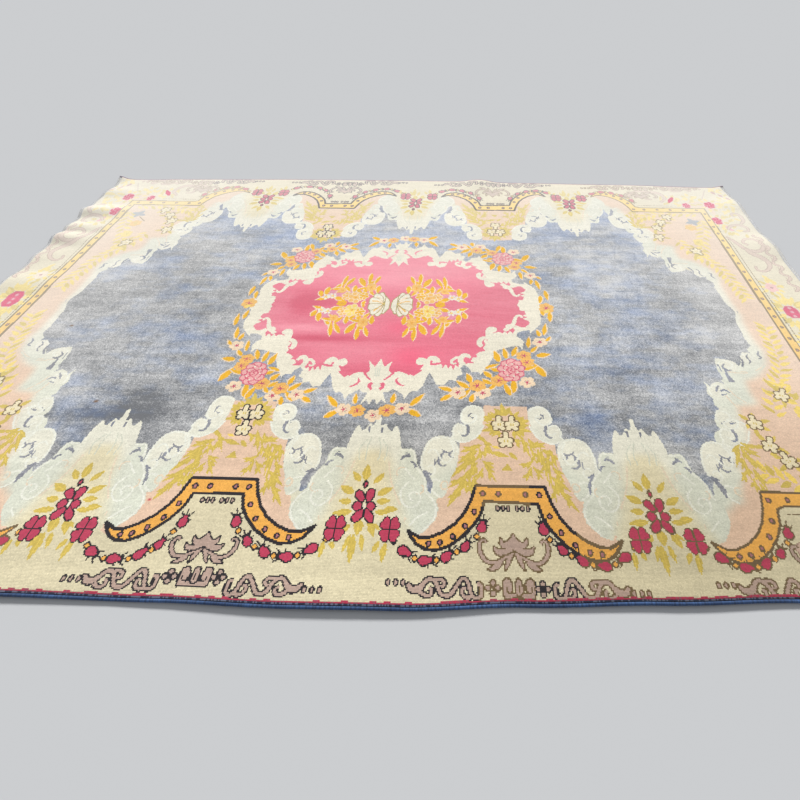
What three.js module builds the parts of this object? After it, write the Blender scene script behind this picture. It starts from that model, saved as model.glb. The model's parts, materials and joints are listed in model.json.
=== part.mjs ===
// Hand-knotted wool pile rug, laid flat, with woven ends and an overcast side cord along each long side.
// Units are millimetres, +Z up. X runs along the rug's length, Y from the near long side to the far one.
// The underside rests on Z = 0, and the origin is the middle of the underside's box.
import * as THREE from 'three';
import { mergeVertices } from 'three/addons/utils/BufferGeometryUtils.js';

// ---- driving dimensions (mm) ----
const RUG_LENGTH = 2900;        // along X, over the woven ends
const RUG_WIDTH = 1950;         // along Y, knotted part, before the edges' bow
const PILE_THICKNESS = 8;       // knots and foundation together
const END_THICKNESS = 3;        // plain-woven end, without pile
const END_WIDTH = 13;           // depth of the woven end at each short side
const PILE_EDGE_SLOPE = 3;      // the pile rounds off over this length at the woven end
const CORD_WIDTH = 8;           // overcast side cord: one strand wrapped with wool yarn
const CORD_HEIGHT = 7;
const CORD_GAP = 0.3;           // clearance between the knotted edge and the cord
const CORD_SIDES = 10;
const FINE_STEP = 40;           // mesh step along X near the woven ends
const COARSE_STEP = 84;         // mesh step along X in the middle
const END_ZONE = 330;           // how far in from each end the fine step goes
const CROSS_STEP = 47;          // mesh step along Y

const HALF_LENGTH = RUG_LENGTH / 2;
const HALF_WIDTH = RUG_WIDTH / 2;

// ---- how far each edge stands from its straight line: out is away from the rug's middle (mm) ----
const NEAR_EDGE = [ // long side towards the viewer, a slow bow
  { along: -1450, out: 1 }, { along: -1080, out: 5 }, { along: -725, out: 8 }, { along: -400, out: 12 },
  { along: -130, out: 19 }, { along: 106, out: 18 }, { along: 366, out: 4 }, { along: 652, out: -6 },
  { along: 935, out: -18 }, { along: 1450, out: -21 },
];
const FAR_EDGE = [ // far long side, with an ear at each corner
  { along: -1450, out: -6 }, { along: -1405, out: -16 }, { along: -1320, out: -17 }, { along: -1150, out: -7 },
  { along: -982, out: -2 }, { along: -600, out: 9 }, { along: -342, out: 11 }, { along: 144, out: 13 },
  { along: 300, out: 14 }, { along: 430, out: 3 }, { along: 962, out: -3 }, { along: 1380, out: -18 },
  { along: 1450, out: -9 },
];
const LEFT_EDGE = [ // short side, slightly uneven
  { along: -975, out: 6 }, { along: -700, out: 9 }, { along: -350, out: 5 }, { along: -60, out: 8 },
  { along: 120, out: 3 }, { along: 200, out: -1 }, { along: 290, out: 5 }, { along: 560, out: 3 },
  { along: 640, out: 7 }, { along: 750, out: 12 }, { along: 805, out: 8 }, { along: 885, out: 3 },
  { along: 975, out: 9 },
];
const RIGHT_EDGE = [ // short side, bowed outward
  { along: -975, out: 16 }, { along: -600, out: 24 }, { along: -250, out: 19 }, { along: 210, out: 28 },
  { along: 400, out: 28 }, { along: 480, out: 24 }, { along: 560, out: 17 }, { along: 640, out: 20 },
  { along: 800, out: 21 }, { along: 880, out: 12 }, { along: 975, out: 2 },
];

// ---- where the rug lifts off the floor: crest centre, direction, half length, half width, height ----
const RIPPLES = [
  { x: -1462, y: 826, turn: 0, reach: 210, half: 62, height: 7 },
  { x: -1466, y: 636, turn: 4, reach: 260, half: 64, height: 15 },
  { x: -1463, y: 508, turn: -3, reach: 240, half: 50, height: 8 },
  { x: -1461, y: 420, turn: -8, reach: 220, half: 58, height: 13.5 },
  { x: -1461, y: 275, turn: 0, reach: 150, half: 56, height: 3.5 },
  { x: -1461, y: 98, turn: 2, reach: 300, half: 88, height: 8 },
  { x: -1458, y: -190, turn: -3, reach: 240, half: 95, height: 6 },
  { x: -1460, y: -520, turn: 3, reach: 260, half: 105, height: 7 },
  { x: -1458, y: -800, turn: -2, reach: 210, half: 85, height: 5 },
  { x: -1466, y: 985, turn: 40, reach: 120, half: 78, height: 13 },
  { x: 1462, y: 990, turn: -42, reach: 110, half: 70, height: 7 },
  { x: 1474, y: 790, turn: 0, reach: 190, half: 85, height: 5 },
  { x: 1480, y: 430, turn: 3, reach: 240, half: 120, height: 8 },
  { x: 1476, y: -230, turn: -2, reach: 220, half: 110, height: 5 },
  { x: 1474, y: -640, turn: 2, reach: 220, half: 110, height: 6 },
  { x: 282, y: 990, turn: 90, reach: 170, half: 92, height: 9 },
  { x: -60, y: -992, turn: 0, reach: 520, half: 70, height: 5 },
  { x: 700, y: -964, turn: 0, reach: 420, half: 58, height: 3 },
  { x: -820, y: -978, turn: 0, reach: 420, half: 58, height: 3 },
];

// ---- helpers ----
const clamp = (v, lo, hi) => Math.min(hi, Math.max(lo, v));
function edgeOut(table, along) { // smooth value between the table's rows
  if (along <= table[0].along) return table[0].out;
  for (let i = 1; i < table.length; i++) {
    if (along <= table[i].along) {
      const a = table[i - 1], b = table[i];
      const t = (along - a.along) / (b.along - a.along);
      return a.out + (b.out - a.out) * t * t * (3 - 2 * t);
    }
  }
  return table[table.length - 1].out;
}
// plan position of the point that was knotted at (u, v) in the flat rectangle
function plan(u, v) {
  const s = clamp(v / HALF_WIDTH, -1, 1), r = clamp(u / HALF_LENGTH, -1, 1);
  const toNear = Math.max(0, -s) ** 3, toFar = Math.max(0, s) ** 3;
  const toLeft = Math.max(0, -r) ** 9, toRight = Math.max(0, r) ** 9;
  return {
    x: u - toLeft * edgeOut(LEFT_EDGE, v) + toRight * edgeOut(RIGHT_EDGE, v),
    y: v - toNear * edgeOut(NEAR_EDGE, u) + toFar * edgeOut(FAR_EDGE, u),
  };
}
// height of the underside above the floor, exactly zero outside the ripples
function lift(x, y) {
  let h = 0;
  for (const r of RIPPLES) {
    const c = Math.cos(THREE.MathUtils.degToRad(r.turn)), s = Math.sin(THREE.MathUtils.degToRad(r.turn));
    const along = ((x - r.x) * c + (y - r.y) * s) / r.reach, across = (-(x - r.x) * s + (y - r.y) * c) / r.half;
    if (Math.abs(along) < 1 && Math.abs(across) < 1) {
      h = Math.max(h, r.height * (1 - along * along) ** 2 * (1 - across * across) ** 2);
    }
  }
  return h;
}
function thickness(u) { // pile in the middle, thin plain weave at the two ends
  const fromEnd = HALF_LENGTH - Math.abs(u);
  const t = clamp((fromEnd - END_WIDTH) / PILE_EDGE_SLOPE, 0, 1);
  return END_THICKNESS + (PILE_THICKNESS - END_THICKNESS) * t;
}
// mesh stations along X: woven end, pile edge, fine steps, coarse middle
function stations() {
  const half = [HALF_LENGTH, HALF_LENGTH - END_WIDTH, HALF_LENGTH - END_WIDTH - PILE_EDGE_SLOPE];
  const start = half[2], fine = Math.round((END_ZONE - (HALF_LENGTH - start)) / FINE_STEP);
  for (let i = 1; i <= fine; i++) half.push(start - (start - (HALF_LENGTH - END_ZONE)) * i / fine);
  const from = HALF_LENGTH - END_ZONE, coarse = Math.round(from / COARSE_STEP);
  for (let i = 1; i <= coarse; i++) half.push(from - from * i / coarse);
  return [...half.map((u) => -u), ...half.slice(0, -1).reverse()];
}
const U_STATIONS = stations();
const V_COUNT = Math.round(RUG_WIDTH / CROSS_STEP);

// moves every vertex of a geometry by a function of its own position, and closes it
function reshape(geometry, place) {
  const g = geometry.clone();
  g.deleteAttribute('normal'); g.deleteAttribute('uv');
  const merged = mergeVertices(g, 1e-4), p = merged.attributes.position;
  for (let i = 0; i < p.count; i++) {
    const q = place(p.getX(i), p.getY(i), p.getZ(i));
    p.setXYZ(i, q.x, q.y, q.z);
  }
  merged.computeVertexNormals();
  return merged;
}

// ---- the rug: one thin sheet of knots and foundation ----
function rugGeometry() {
  const cells = U_STATIONS.length - 1;
  return reshape(new THREE.BoxGeometry(cells, V_COUNT, 1, cells, V_COUNT, 1), (gx, gy, gz) => {
    const u = U_STATIONS[Math.round(gx + cells / 2)];
    const v = gy / V_COUNT * RUG_WIDTH;
    const p = plan(u, v), low = lift(p.x, p.y);
    return { x: p.x, y: p.y, z: gz > 0 ? low + thickness(u) : low };
  });
}

// ---- side cord: one wrapped strand, following the knotted edge at a small gap ----
function cordGeometry(side) { // side -1 near, +1 far
  const cells = U_STATIONS.length - 1;
  const cyl = new THREE.CylinderGeometry(1, 1, cells, CORD_SIDES, cells, false);
  cyl.rotateZ(-Math.PI / 2);   // its axis along +X
  return reshape(cyl, (gx, gy, gz) => {
    const u = U_STATIONS[Math.round(gx + cells / 2)];
    const edge = plan(u, side * HALF_WIDTH), low = lift(edge.x, edge.y);
    return {
      x: edge.x,
      y: edge.y + side * (CORD_GAP + CORD_WIDTH / 2) + gy * CORD_WIDTH / 2,
      z: low + CORD_HEIGHT / 2 + gz * CORD_HEIGHT / 2,
    };
  });
}

const wool = (color, roughness) => new THREE.MeshStandardMaterial({ color, roughness, metalness: 0 });
function piece(name, geometry, material) {
  const m = new THREE.Mesh(geometry, material);
  m.name = name;
  return m;
}

const rug = new THREE.Group();
rug.add(
  piece('rug', rugGeometry(), wool(0xb9b3b0, 0.95)),
  piece('side_cord_near', cordGeometry(-1), wool(0x3f63a3, 0.85)),
  piece('side_cord_far', cordGeometry(1), wool(0x3f63a3, 0.85)),
);

// the origin is the middle of the underside's box
const box = new THREE.Box3().setFromObject(rug);
rug.position.set(-(box.min.x + box.max.x) / 2, -(box.min.y + box.max.y) / 2, -box.min.z);

export default rug;
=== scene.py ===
# Hand-knotted wool pile rug: every knot has its own yarn colour, drawn from motifs in the rug's own millimetres.
import json
import bpy
import numpy as np
from mathutils import Matrix, Vector

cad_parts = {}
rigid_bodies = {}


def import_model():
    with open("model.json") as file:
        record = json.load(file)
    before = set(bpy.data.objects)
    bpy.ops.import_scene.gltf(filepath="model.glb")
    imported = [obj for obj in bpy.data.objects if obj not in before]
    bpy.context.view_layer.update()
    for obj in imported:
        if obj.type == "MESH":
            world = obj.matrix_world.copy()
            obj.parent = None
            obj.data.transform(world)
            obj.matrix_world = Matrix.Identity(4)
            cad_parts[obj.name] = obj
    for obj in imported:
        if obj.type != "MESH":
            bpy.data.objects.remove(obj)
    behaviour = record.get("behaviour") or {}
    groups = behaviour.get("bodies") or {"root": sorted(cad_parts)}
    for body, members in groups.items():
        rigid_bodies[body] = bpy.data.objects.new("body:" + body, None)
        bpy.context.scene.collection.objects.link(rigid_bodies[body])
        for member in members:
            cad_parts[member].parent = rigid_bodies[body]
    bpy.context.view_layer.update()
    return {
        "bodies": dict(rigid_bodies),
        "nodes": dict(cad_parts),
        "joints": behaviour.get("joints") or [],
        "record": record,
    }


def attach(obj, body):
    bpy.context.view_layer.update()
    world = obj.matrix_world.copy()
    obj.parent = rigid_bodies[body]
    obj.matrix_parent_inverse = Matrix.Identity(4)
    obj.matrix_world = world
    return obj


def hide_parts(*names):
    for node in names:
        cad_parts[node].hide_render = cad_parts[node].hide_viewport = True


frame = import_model()
# ---- the rug's shape: the same sizes, tables and functions as the CAD part, in millimetres ----
RUG_LENGTH, RUG_WIDTH = 2900.0, 1950.0
PILE_THICKNESS, END_THICKNESS = 8.0, 3.0
END_WIDTH, PILE_EDGE_SLOPE = 13.0, 3.0
CORD_WIDTH, CORD_HEIGHT, CORD_GAP = 8.0, 7.0, 0.3
HALF_LENGTH, HALF_WIDTH = RUG_LENGTH / 2, RUG_WIDTH / 2

# how far each edge stands out from its straight line: (along, out)
NEAR_EDGE = [(-1450, 1), (-1080, 5), (-725, 8), (-400, 12), (-130, 19), (106, 18), (366, 4), (652, -6),
             (935, -18), (1450, -21)]
FAR_EDGE = [(-1450, -6), (-1405, -16), (-1320, -17), (-1150, -7), (-982, -2), (-600, 9), (-342, 11), (144, 13),
            (300, 14), (430, 3), (962, -3), (1380, -18), (1450, -9)]
LEFT_EDGE = [(-975, 6), (-700, 9), (-350, 5), (-60, 8), (120, 3), (200, -1), (290, 5), (560, 3), (640, 7),
             (750, 12), (805, 8), (885, 3), (975, 9)]
RIGHT_EDGE = [(-975, 16), (-600, 24), (-250, 19), (210, 28), (400, 28), (480, 24), (560, 17), (640, 20),
              (800, 21), (880, 12), (975, 2)]

# where the rug lifts off the floor: (crest x, crest y, turn in degrees, half length, half width, height)
RIPPLES = [
    (-1462, 826, 0, 210, 62, 7),
    (-1466, 636, 4, 260, 64, 15),
    (-1463, 508, -3, 240, 50, 8),
    (-1461, 420, -8, 220, 58, 13.5),
    (-1461, 275, 0, 150, 56, 3.5),
    (-1461, 98, 2, 300, 88, 8),
    (-1458, -190, -3, 240, 95, 6),
    (-1460, -520, 3, 260, 105, 7),
    (-1458, -800, -2, 210, 85, 5),
    (-1466, 985, 40, 120, 78, 13),
    (1462, 990, -42, 110, 70, 7),
    (1474, 790, 0, 190, 85, 5),
    (1480, 430, 3, 240, 120, 8),
    (1476, -230, -2, 220, 110, 5),
    (1474, -640, 2, 220, 110, 6),
    (282, 990, 90, 170, 92, 9),
    (-60, -992, 0, 520, 70, 5),
    (700, -964, 0, 420, 58, 3),
    (-820, -978, 0, 420, 58, 3),
]


def edge_out(table, along):
    a = np.asarray(along, float)
    xs = np.array([r[0] for r in table], float)
    ys = np.array([r[1] for r in table], float)
    i = np.clip(np.searchsorted(xs, a, side="left"), 1, len(xs) - 1)
    t = np.clip((a - xs[i - 1]) / (xs[i] - xs[i - 1]), 0, 1)
    return ys[i - 1] + (ys[i] - ys[i - 1]) * t * t * (3 - 2 * t)


def plan(u, v):
    s, r = np.clip(v / HALF_WIDTH, -1, 1), np.clip(u / HALF_LENGTH, -1, 1)
    near, far = np.maximum(0, -s) ** 3, np.maximum(0, s) ** 3
    left, right = np.maximum(0, -r) ** 9, np.maximum(0, r) ** 9
    x = u - left * edge_out(LEFT_EDGE, v) + right * edge_out(RIGHT_EDGE, v)
    y = v - near * edge_out(NEAR_EDGE, u) + far * edge_out(FAR_EDGE, u)
    return x, y


def lift(x, y):
    h = np.zeros(np.broadcast(x, y).shape)
    for cx, cy, turn, reach, half, height in RIPPLES:
        c, s = np.cos(np.radians(turn)), np.sin(np.radians(turn))
        along, across = ((x - cx) * c + (y - cy) * s) / reach, (-(x - cx) * s + (y - cy) * c) / half
        bump = height * np.clip(1 - along ** 2, 0, 1) ** 2 * np.clip(1 - across ** 2, 0, 1) ** 2
        h = np.maximum(h, bump)
    return h
# ---- knots: every knot has one yarn colour, worked out at its own centre from the motifs below ----
PILE_HALF = HALF_LENGTH - END_WIDTH            # the knotted part ends where the woven end begins
KNOTS_X, KNOTS_Y = 990, 672                    # knots along and across, about 2.9 mm each
PITCH_X, PITCH_Y = 2 * PILE_HALF / KNOTS_X, RUG_WIDTH / KNOTS_Y
KU, KV = np.meshgrid(-PILE_HALF + (np.arange(KNOTS_X) + 0.5) * PITCH_X, -HALF_WIDTH + (np.arange(KNOTS_Y) + 0.5) * PITCH_Y)
KX, KY = plan(KU, KV)                          # where each knot lies on the floor
ART = np.zeros((KNOTS_Y, KNOTS_X), np.int16)   # its yarn, as a row of YARNS
YARNS = []                                     # (name, sRGB colour)


def yarn(name, r, g, b):
    YARNS.append((name, (r, g, b)))
    return len(YARNS) - 1


def window(x0, y0, x1, y1):
    """Slices of the knot grid that cover a box on the floor, with room for the edges' bow."""
    i0 = int((x0 - 45 + PILE_HALF) / PITCH_X); i1 = int((x1 + 45 + PILE_HALF) / PITCH_X) + 1
    j0 = int((y0 - 45 + HALF_WIDTH) / PITCH_Y); j1 = int((y1 + 45 + HALF_WIDTH) / PITCH_Y) + 1
    return slice(max(0, j0), max(0, min(KNOTS_Y, j1))), slice(max(0, i0), max(0, min(KNOTS_X, i1)))


def put(win, mask, colour, over=None):
    """Ties the knots of the mask, on any yarn or only over the named ones."""
    sub = ART[win]
    if over is not None:
        mask = mask & np.isin(sub, over)
    sub[mask] = colour


def inside(pts, X, Y):
    """Which points lie inside a closed polygon (even-odd)."""
    x, y = pts[:, 0], pts[:, 1]
    x2, y2 = np.roll(x, -1), np.roll(y, -1)
    hit = np.zeros(X.shape, bool)
    for a, b, c, d in zip(x, y, x2, y2):
        if b == d:
            continue
        cross = ((b > Y) != (d > Y)) & (X < (c - a) * (Y - b) / (d - b) + a)
        hit ^= cross
    return hit


def distance(pts, X, Y, closed):
    """Distance of each point to a polyline."""
    best = np.full(X.shape, 1e9)
    q = np.vstack([pts, pts[:1]]) if closed else pts
    for (a, b), (c, d) in zip(q[:-1], q[1:]):
        dx, dy = c - a, d - b
        L = dx * dx + dy * dy
        t = np.clip(((X - a) * dx + (Y - b) * dy) / L, 0, 1) if L > 0 else 0.0
        best = np.minimum(best, (X - a - t * dx) ** 2 + (Y - b - t * dy) ** 2)
    return np.sqrt(best)


def smooth(pts, closed=False, n=6):
    """Catmull-Rom curve through the points."""
    p = np.asarray(pts, float)
    m = len(p)
    if m < 3:
        return p
    idx = range(m if closed else m - 1)
    out = []
    for i in idx:
        if closed:
            p0, p1, p2, p3 = p[(i - 1) % m], p[i], p[(i + 1) % m], p[(i + 2) % m]
        else:
            p0, p1, p2, p3 = p[max(i - 1, 0)], p[i], p[i + 1], p[min(i + 2, m - 1)]
        for k in range(n):
            t = k / n
            out.append(0.5 * ((2 * p1) + (-p0 + p2) * t + (2 * p0 - 5 * p1 + 4 * p2 - p3) * t * t + (-p0 + 3 * p1 - 3 * p2 + p3) * t ** 3))
    if not closed:
        out.append(p[-1])
    return np.array(out)


class Place:
    """Puts a motif's own millimetres on the floor: scaled or mirrored, turned (degrees) and moved."""

    def __init__(self, x=0.0, y=0.0, turn=0.0, sx=1.0, sy=1.0):
        c, s = np.cos(np.radians(turn)), np.sin(np.radians(turn))
        self.m = np.array([[c, -s], [s, c]]) @ np.diag([sx, sy])
        self.t = np.array([x, y], float)

    def __call__(self, pts):
        return np.asarray(pts, float).reshape(-1, 2) @ self.m.T + self.t

    def at(self, x, y, turn=0.0, sx=1.0, sy=1.0):
        """A place inside this one."""
        inner, outer = Place(x, y, turn, sx, sy), Place()
        outer.m, outer.t = self.m @ inner.m, self(inner.t)[0]
        return outer


HERE = Place()


def area(pts, colour, at=HERE, over=None, edge=None, width=5.0, curve=False):
    """Fills a closed outline, and draws its edge in another yarn."""
    p = at(pts)
    if curve:
        p = smooth(p, True)
    m = width + 2
    win = window(p[:, 0].min() - m, p[:, 1].min() - m, p[:, 0].max() + m, p[:, 1].max() + m)
    X, Y = KX[win], KY[win]
    if X.size == 0:
        return p
    if colour is not None:
        put(win, inside(p, X, Y), colour, over)
    if edge is not None:
        put(win, distance(p, X, Y, True) < width / 2, edge, over)
    return p


def line(pts, colour, width=5.0, at=HERE, over=None, closed=False, curve=False):
    p = at(pts)
    if curve:
        p = smooth(p, closed)
    m = width + 2
    win = window(p[:, 0].min() - m, p[:, 1].min() - m, p[:, 0].max() + m, p[:, 1].max() + m)
    X, Y = KX[win], KY[win]
    if X.size:
        put(win, distance(p, X, Y, closed) < width / 2, colour, over)
    return p


def taper(pts, colour, w0, w1, at=HERE, over=None, edge=None, width=5.0, curve=True):
    """A stroke whose width goes evenly from w0 to w1 (a list of widths also serves), with an edge."""
    p = at(pts)
    if curve:
        p = smooth(p)
    seg = np.r_[0, np.cumsum(np.hypot(*np.diff(p, axis=0).T))]
    t = seg / seg[-1]
    ws = np.interp(t, np.linspace(0, 1, len(w0)), w0) if hasattr(w0, "__len__") else w0 + (w1 - w0) * t
    d = np.gradient(p, axis=0)
    nrm = np.column_stack([-d[:, 1], d[:, 0]]) / np.maximum(np.hypot(d[:, 0], d[:, 1]), 1e-9)[:, None]
    out = np.vstack([p + nrm * ws[:, None] / 2, (p - nrm * ws[:, None] / 2)[::-1]])
    return area(out, colour, over=over, edge=edge, width=width)


def disc(x, y, r, colour, at=HERE, over=None, edge=None, width=5.0, ry=None, turn=0.0):
    a = np.linspace(0, 2 * np.pi, 20, endpoint=False)
    c, s = np.cos(np.radians(turn)), np.sin(np.radians(turn))
    ex, ey = r * np.cos(a), (ry or r) * np.sin(a)
    return area(np.column_stack([x + ex * c - ey * s, y + ex * s + ey * c]), colour, at=at, over=over, edge=edge, width=width)
# ---- yarns (sRGB, 0 to 255) ----
CREAM = yarn("cream", 221, 210, 176)
BLUSH = yarn("blush", 232, 199, 172)
MINT = yarn("mint ivory", 221, 223, 206)
BEIGE = yarn("beige", 230, 219, 184)
FIELD = yarn("field grey", 140, 145, 155)
SLIT = yarn("slit grey", 124, 128, 142)
BLACK = yarn("black", 44, 40, 44)
BROWN = yarn("brown", 118, 98, 68)
PINK = yarn("deep pink", 192, 66, 93)
PINK2 = yarn("bright pink", 222, 92, 122)
AMBER = yarn("amber", 243, 178, 84)
MAUVE = yarn("mauve", 186, 160, 146)
STONE = yarn("dot mauve", 176, 118, 122)
RED = yarn("rose red", 225, 105, 128)
IVORY = yarn("ivory", 236, 229, 208)
ORANGE = yarn("flower amber", 240, 184, 96)
PEACH = yarn("peach", 242, 216, 182)
CHERRY = yarn("cherry", 198, 84, 108)
GOLD = yarn("leaf gold", 238, 180, 40)
ROSE = yarn("rose", 238, 176, 172)
ROSE2 = yarn("rose line", 214, 96, 118)
OLIVE = yarn("olive gold", 212, 186, 90)
STRAW = yarn("straw", 226, 198, 96)
WHITE = yarn("white", 232, 226, 206)
ROW = yarn("red row", 188, 62, 88)
NAVY = yarn("mottled navy", 52, 54, 74)
GHOST = yarn("pale line", 214, 216, 198)
LEMON = yarn("lemon", 244, 212, 104)
CREAM2 = yarn("flower cream", 238, 224, 186)
TAN = yarn("olive brown", 168, 148, 88)
LILAC = yarn("lilac pink", 226, 140, 160)
SKY = yarn("grey blue flower", 136, 146, 160)
SHELL = yarn("shell ivory", 234, 231, 213)
HUSH = yarn("pale peach", 232, 214, 188)
RIM = yarn("pale rim", 237, 237, 223)
MIST = yarn("pale mauve", 208, 178, 160)
TAUPE = yarn("taupe", 168, 138, 122)
HONEY = yarn("honey", 232, 164, 62)


# ---- small motifs; each is drawn about its own middle, with +y towards the rug's middle ----
def leaf(at, length, width, colour, teeth=0, edge=None, over=None):
    """A pointed leaf from the origin along +y."""
    w, L = width / 2, length
    if teeth:
        right = [(w * 0.55, L * 0.14), (w, L * 0.34), (w * 0.62, L * 0.42), (w * 0.98, L * 0.6), (w * 0.5, L * 0.66), (w * 0.5, L * 0.82)]
    else:
        right = [(w * 0.6, L * 0.12), (w, L * 0.36), (w * 0.86, L * 0.6), (w * 0.42, L * 0.84)]
    left = [(-x, y) for x, y in reversed(right)]
    area([(0, 0)] + right + [(0, L)] + left, colour, at=at, edge=edge, over=over)


def group(at, parts, dark, fill, rim=3.9):
    """Areas and strokes that share one fill and one outline: ("area", points) or ("band", points, width)."""
    for grow, colour in ((rim, dark), (0.0, fill)):
        for part in parts:
            if part[0] == "area":
                if grow:
                    area(part[1], colour, at=at, edge=colour, width=2 * grow)
                else:
                    area(part[1], colour, at=at)
            else:
                w = part[2]
                taper(part[1], colour, ([v + 2 * grow for v in w] if isinstance(w, list) else w + 2 * grow), part[3] + 2 * grow if len(part) > 3 else (w[-1] if isinstance(w, list) else w) + 2 * grow, at=at)


def mirror(parts):
    """The same parts on the other side of the motif's own middle."""
    out = []
    for part in parts:
        out.append(part)
        out.append((part[0], [(-x, y) for x, y in part[1]]) + tuple(part[2:]))
    return out


def spray(at, dark=BLACK, fill=PINK, leaves=OLIVE):
    """Six petals about a white eye, a bud above, and leaves all round that hang towards the edge."""
    for dx, dy, turn, n, w in ((-10, 70, 0, 48, 22), (-22, 66, 36, 38, 17), (12, 62, -36, 40, 16), (-32, 34, 62, 42, 22), (24, 30, -58, 44, 20),
                               (-34, 10, 84, 32, 19), (24, 12, -84, 36, 18), (-28, -14, 98, 50, 18), (24, -14, -94, 34, 15), (44, -8, -86, 34, 18)):
        leaf(at.at(dx, dy, turn), n, w, leaves)
        line([(dx * 1.15, dy * 1.05), (dx - 0.7 * n * np.sin(np.radians(turn)), dy + 0.7 * n * np.cos(np.radians(turn)))], STRAW, 2.6, at=at, over=(leaves,))
    for x0, y0, x1, y1, w in ((-8, -34, -8, -74, 24), (-28, -46, -50, -78, 14), (14, -40, 32, -78, 17), (-16, -70, -15, -140, 19), (-22, -72, -35, -114, 12), (1, -70, 9, -112, 13), (45, -86, 32, -114, 13),
                              (59, -88, 54, -137, 15), (-64, -88, -56, -108, 13), (-80, -88, -82, -130, 13), (24, -44, 42, -60, 10)):
        stroke_leaf(at, x0, y0, x1, y1, w, leaves)
        line([(x0 + 0.25 * (x1 - x0), y0 + 0.25 * (y1 - y0)), (x0 + 0.8 * (x1 - x0), y0 + 0.8 * (y1 - y0))], STRAW, 2.6, at=at, over=(leaves,))
    petals = [[(-6, 12), (-13, 12), (-21, 19), (-29, 27), (-29, 36), (-21, 43), (-14, 41), (-8, 30), (-4, 20)], [(2, 10), (-1, 20), (-3, 32), (1, 44), (9, 47), (17, 44), (18, 34), (16, 24), (9, 12)],
              [(-31, -1), (-25, 10), (-19, 13), (-9, 7), (-7, -2), (-11, -8), (-19, -14), (-25, -10)], [(4, 6), (11, 11), (19, 9), (25, 0), (20, -10), (13, -13), (5, -6), (2, -1)],
              [(-4, -8), (-2, -18), (-4, -30), (-11, -38), (-19, -42), (-26, -38), (-28, -28), (-21, -18), (-11, -9)], [(3, -6), (8, -10), (18, -18), (24, -28), (24, -41), (15, -43), (7, -35), (1, -26), (0, -16)]]
    group(at, [("area", p) for p in petals] + [("area", [(-8, 49), (-3, 56), (-4, 64), (-8, 69), (-13, 62), (-12, 55)])], dark, dark, 2.4)
    for p in petals:
        cx, cy = np.mean(p, axis=0)
        area([(cx + 0.9 * (x - cx), cy + 0.93 * (y - cy)) for x, y in p], fill, at=at)
    area([(-8, 52), (-5, 57), (-5, 62), (-8, 65), (-11, 61), (-11, 56)], fill, at=at)
    disc(-2.5, 0, 3.0, WHITE, at=at, ry=7)


def clover(at, dark=BLACK, fill=PINK):
    """Four heart-shaped petals."""
    heart = [(0.2, 0.2), (16, 0.6), (22, 5), (23, 13), (18, 19), (16, 26), (11, 31), (5, 30), (0.8, 22)]
    for sx, sy in ((1, 1), (-1, 1), (1, -1), (-1, -1)):
        area(heart, dark, at=at.at(0, 0, 0, sx, sy), edge=dark, width=4.0)
    for sx, sy in ((1, 1), (-1, 1), (1, -1), (-1, -1)):
        area([(1.3 + 0.93 * x, 1.3 + 0.93 * y) for x, y in heart], fill, at=at.at(0, 0, 0, sx, sy))


def bud(at, dark=BLACK, fill=PINK, size=1.0, open_end=True):
    """A bud along +y: round at its foot, narrow at its tip, with hairs there."""
    s = at.at(0, 0, 0, size, size)
    if open_end:
        line([(0, 12), (-1, 31)], dark, 3.6, at=s)
        line([(5, 9), (14, 24)], dark, 3.6, at=s)
        line([(-5, 9), (-13, 22)], dark, 3.6, at=s)
        line([(9, 4), (16, 5)], dark, 3.0, at=s)
    area([(0, -17), (7, -14.5), (11.5, -8), (11.5, 0), (8, 6), (5.5, 12), (5, 18), (1.5, 14), (0, 20), (-2.5, 14), (-5.5, 17), (-6, 10), (-9, 5), (-11.5, -2), (-11, -9), (-6.5, -15)],
         fill, at=s, edge=dark, width=3.6)


def diamond(at, dark=BLACK, fill=AMBER, r=7.2):
    area([(0, -r - 1), (r * 0.7, -r * 0.5), (r, 0), (r * 0.6, r * 0.6), (0, r + 1), (-r * 0.7, r * 0.5), (-r, 0), (-r * 0.6, -r * 0.6)], fill, at=at, edge=dark, width=3.4)


def ring(at, dark=BLACK, fill=MAUVE, w=4.6, h=7.2):
    disc(0, 0, w, fill, at=at, edge=dark, width=3.8, ry=h)


def dot(at, dark=BLACK, fill=STONE, r=5.2):
    disc(0, 0, r, fill, at=at, edge=dark, width=4.2, ry=r * 1.25)


# one arm of a ribbon, from the end of its flat top outward and down to the tip, for a tip 160 out and 121 down
ARM_OUTER = [(0, 0), (12, -40), (28, -74), (50, -101), (80, -123), (110, -136), (132, -136), (160, -121)]
ARM_INNER = [(153, -134), (138, -152), (117, -163), (92, -165), (62, -154), (34, -134), (7, -106), (-11, -78), (-21, -42)]
ARM_DOTS = [(4, -70), (26, -106), (54, -132), (84, -147), (110, -150)]


def arch(at, left, right, top, tip_left, tip_right, dark=BLACK, fill=AMBER):
    """A flat-topped ribbon with a curled arm on each side; top is its line on the field side."""
    def arm(side, x0, tip):
        kx, ky = abs(tip[0] - x0) / 160.0, (top - tip[1]) / 121.0
        return lambda pts: [(x0 + side * p[0] * kx, top + p[1] * ky) for p in pts]
    la, ra = arm(-1, left, tip_left), arm(1, right, tip_right)
    outline = la(ARM_OUTER)[::-1] + ra(ARM_OUTER) + ra(ARM_INNER) + la(ARM_INNER)[::-1]
    area(outline, fill, at=at, edge=dark, width=8.4)
    for f in (la, ra):
        for p in f(ARM_DOTS):
            dot(at.at(*p), dark)
    mid, span = (left + right) / 2, (right - left) / 2
    for k in (-0.8, -0.35, 0.42, 0.82):
        dot(at.at(mid + span * k, top - 22), dark, STONE, 5.6)
    for k in (-33, -20, -8, 13, 26, 39):                    # small marks under the flat
        ring(at.at(mid + k, top - 60), dark, MAUVE, 4.2, 7.0)


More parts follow.
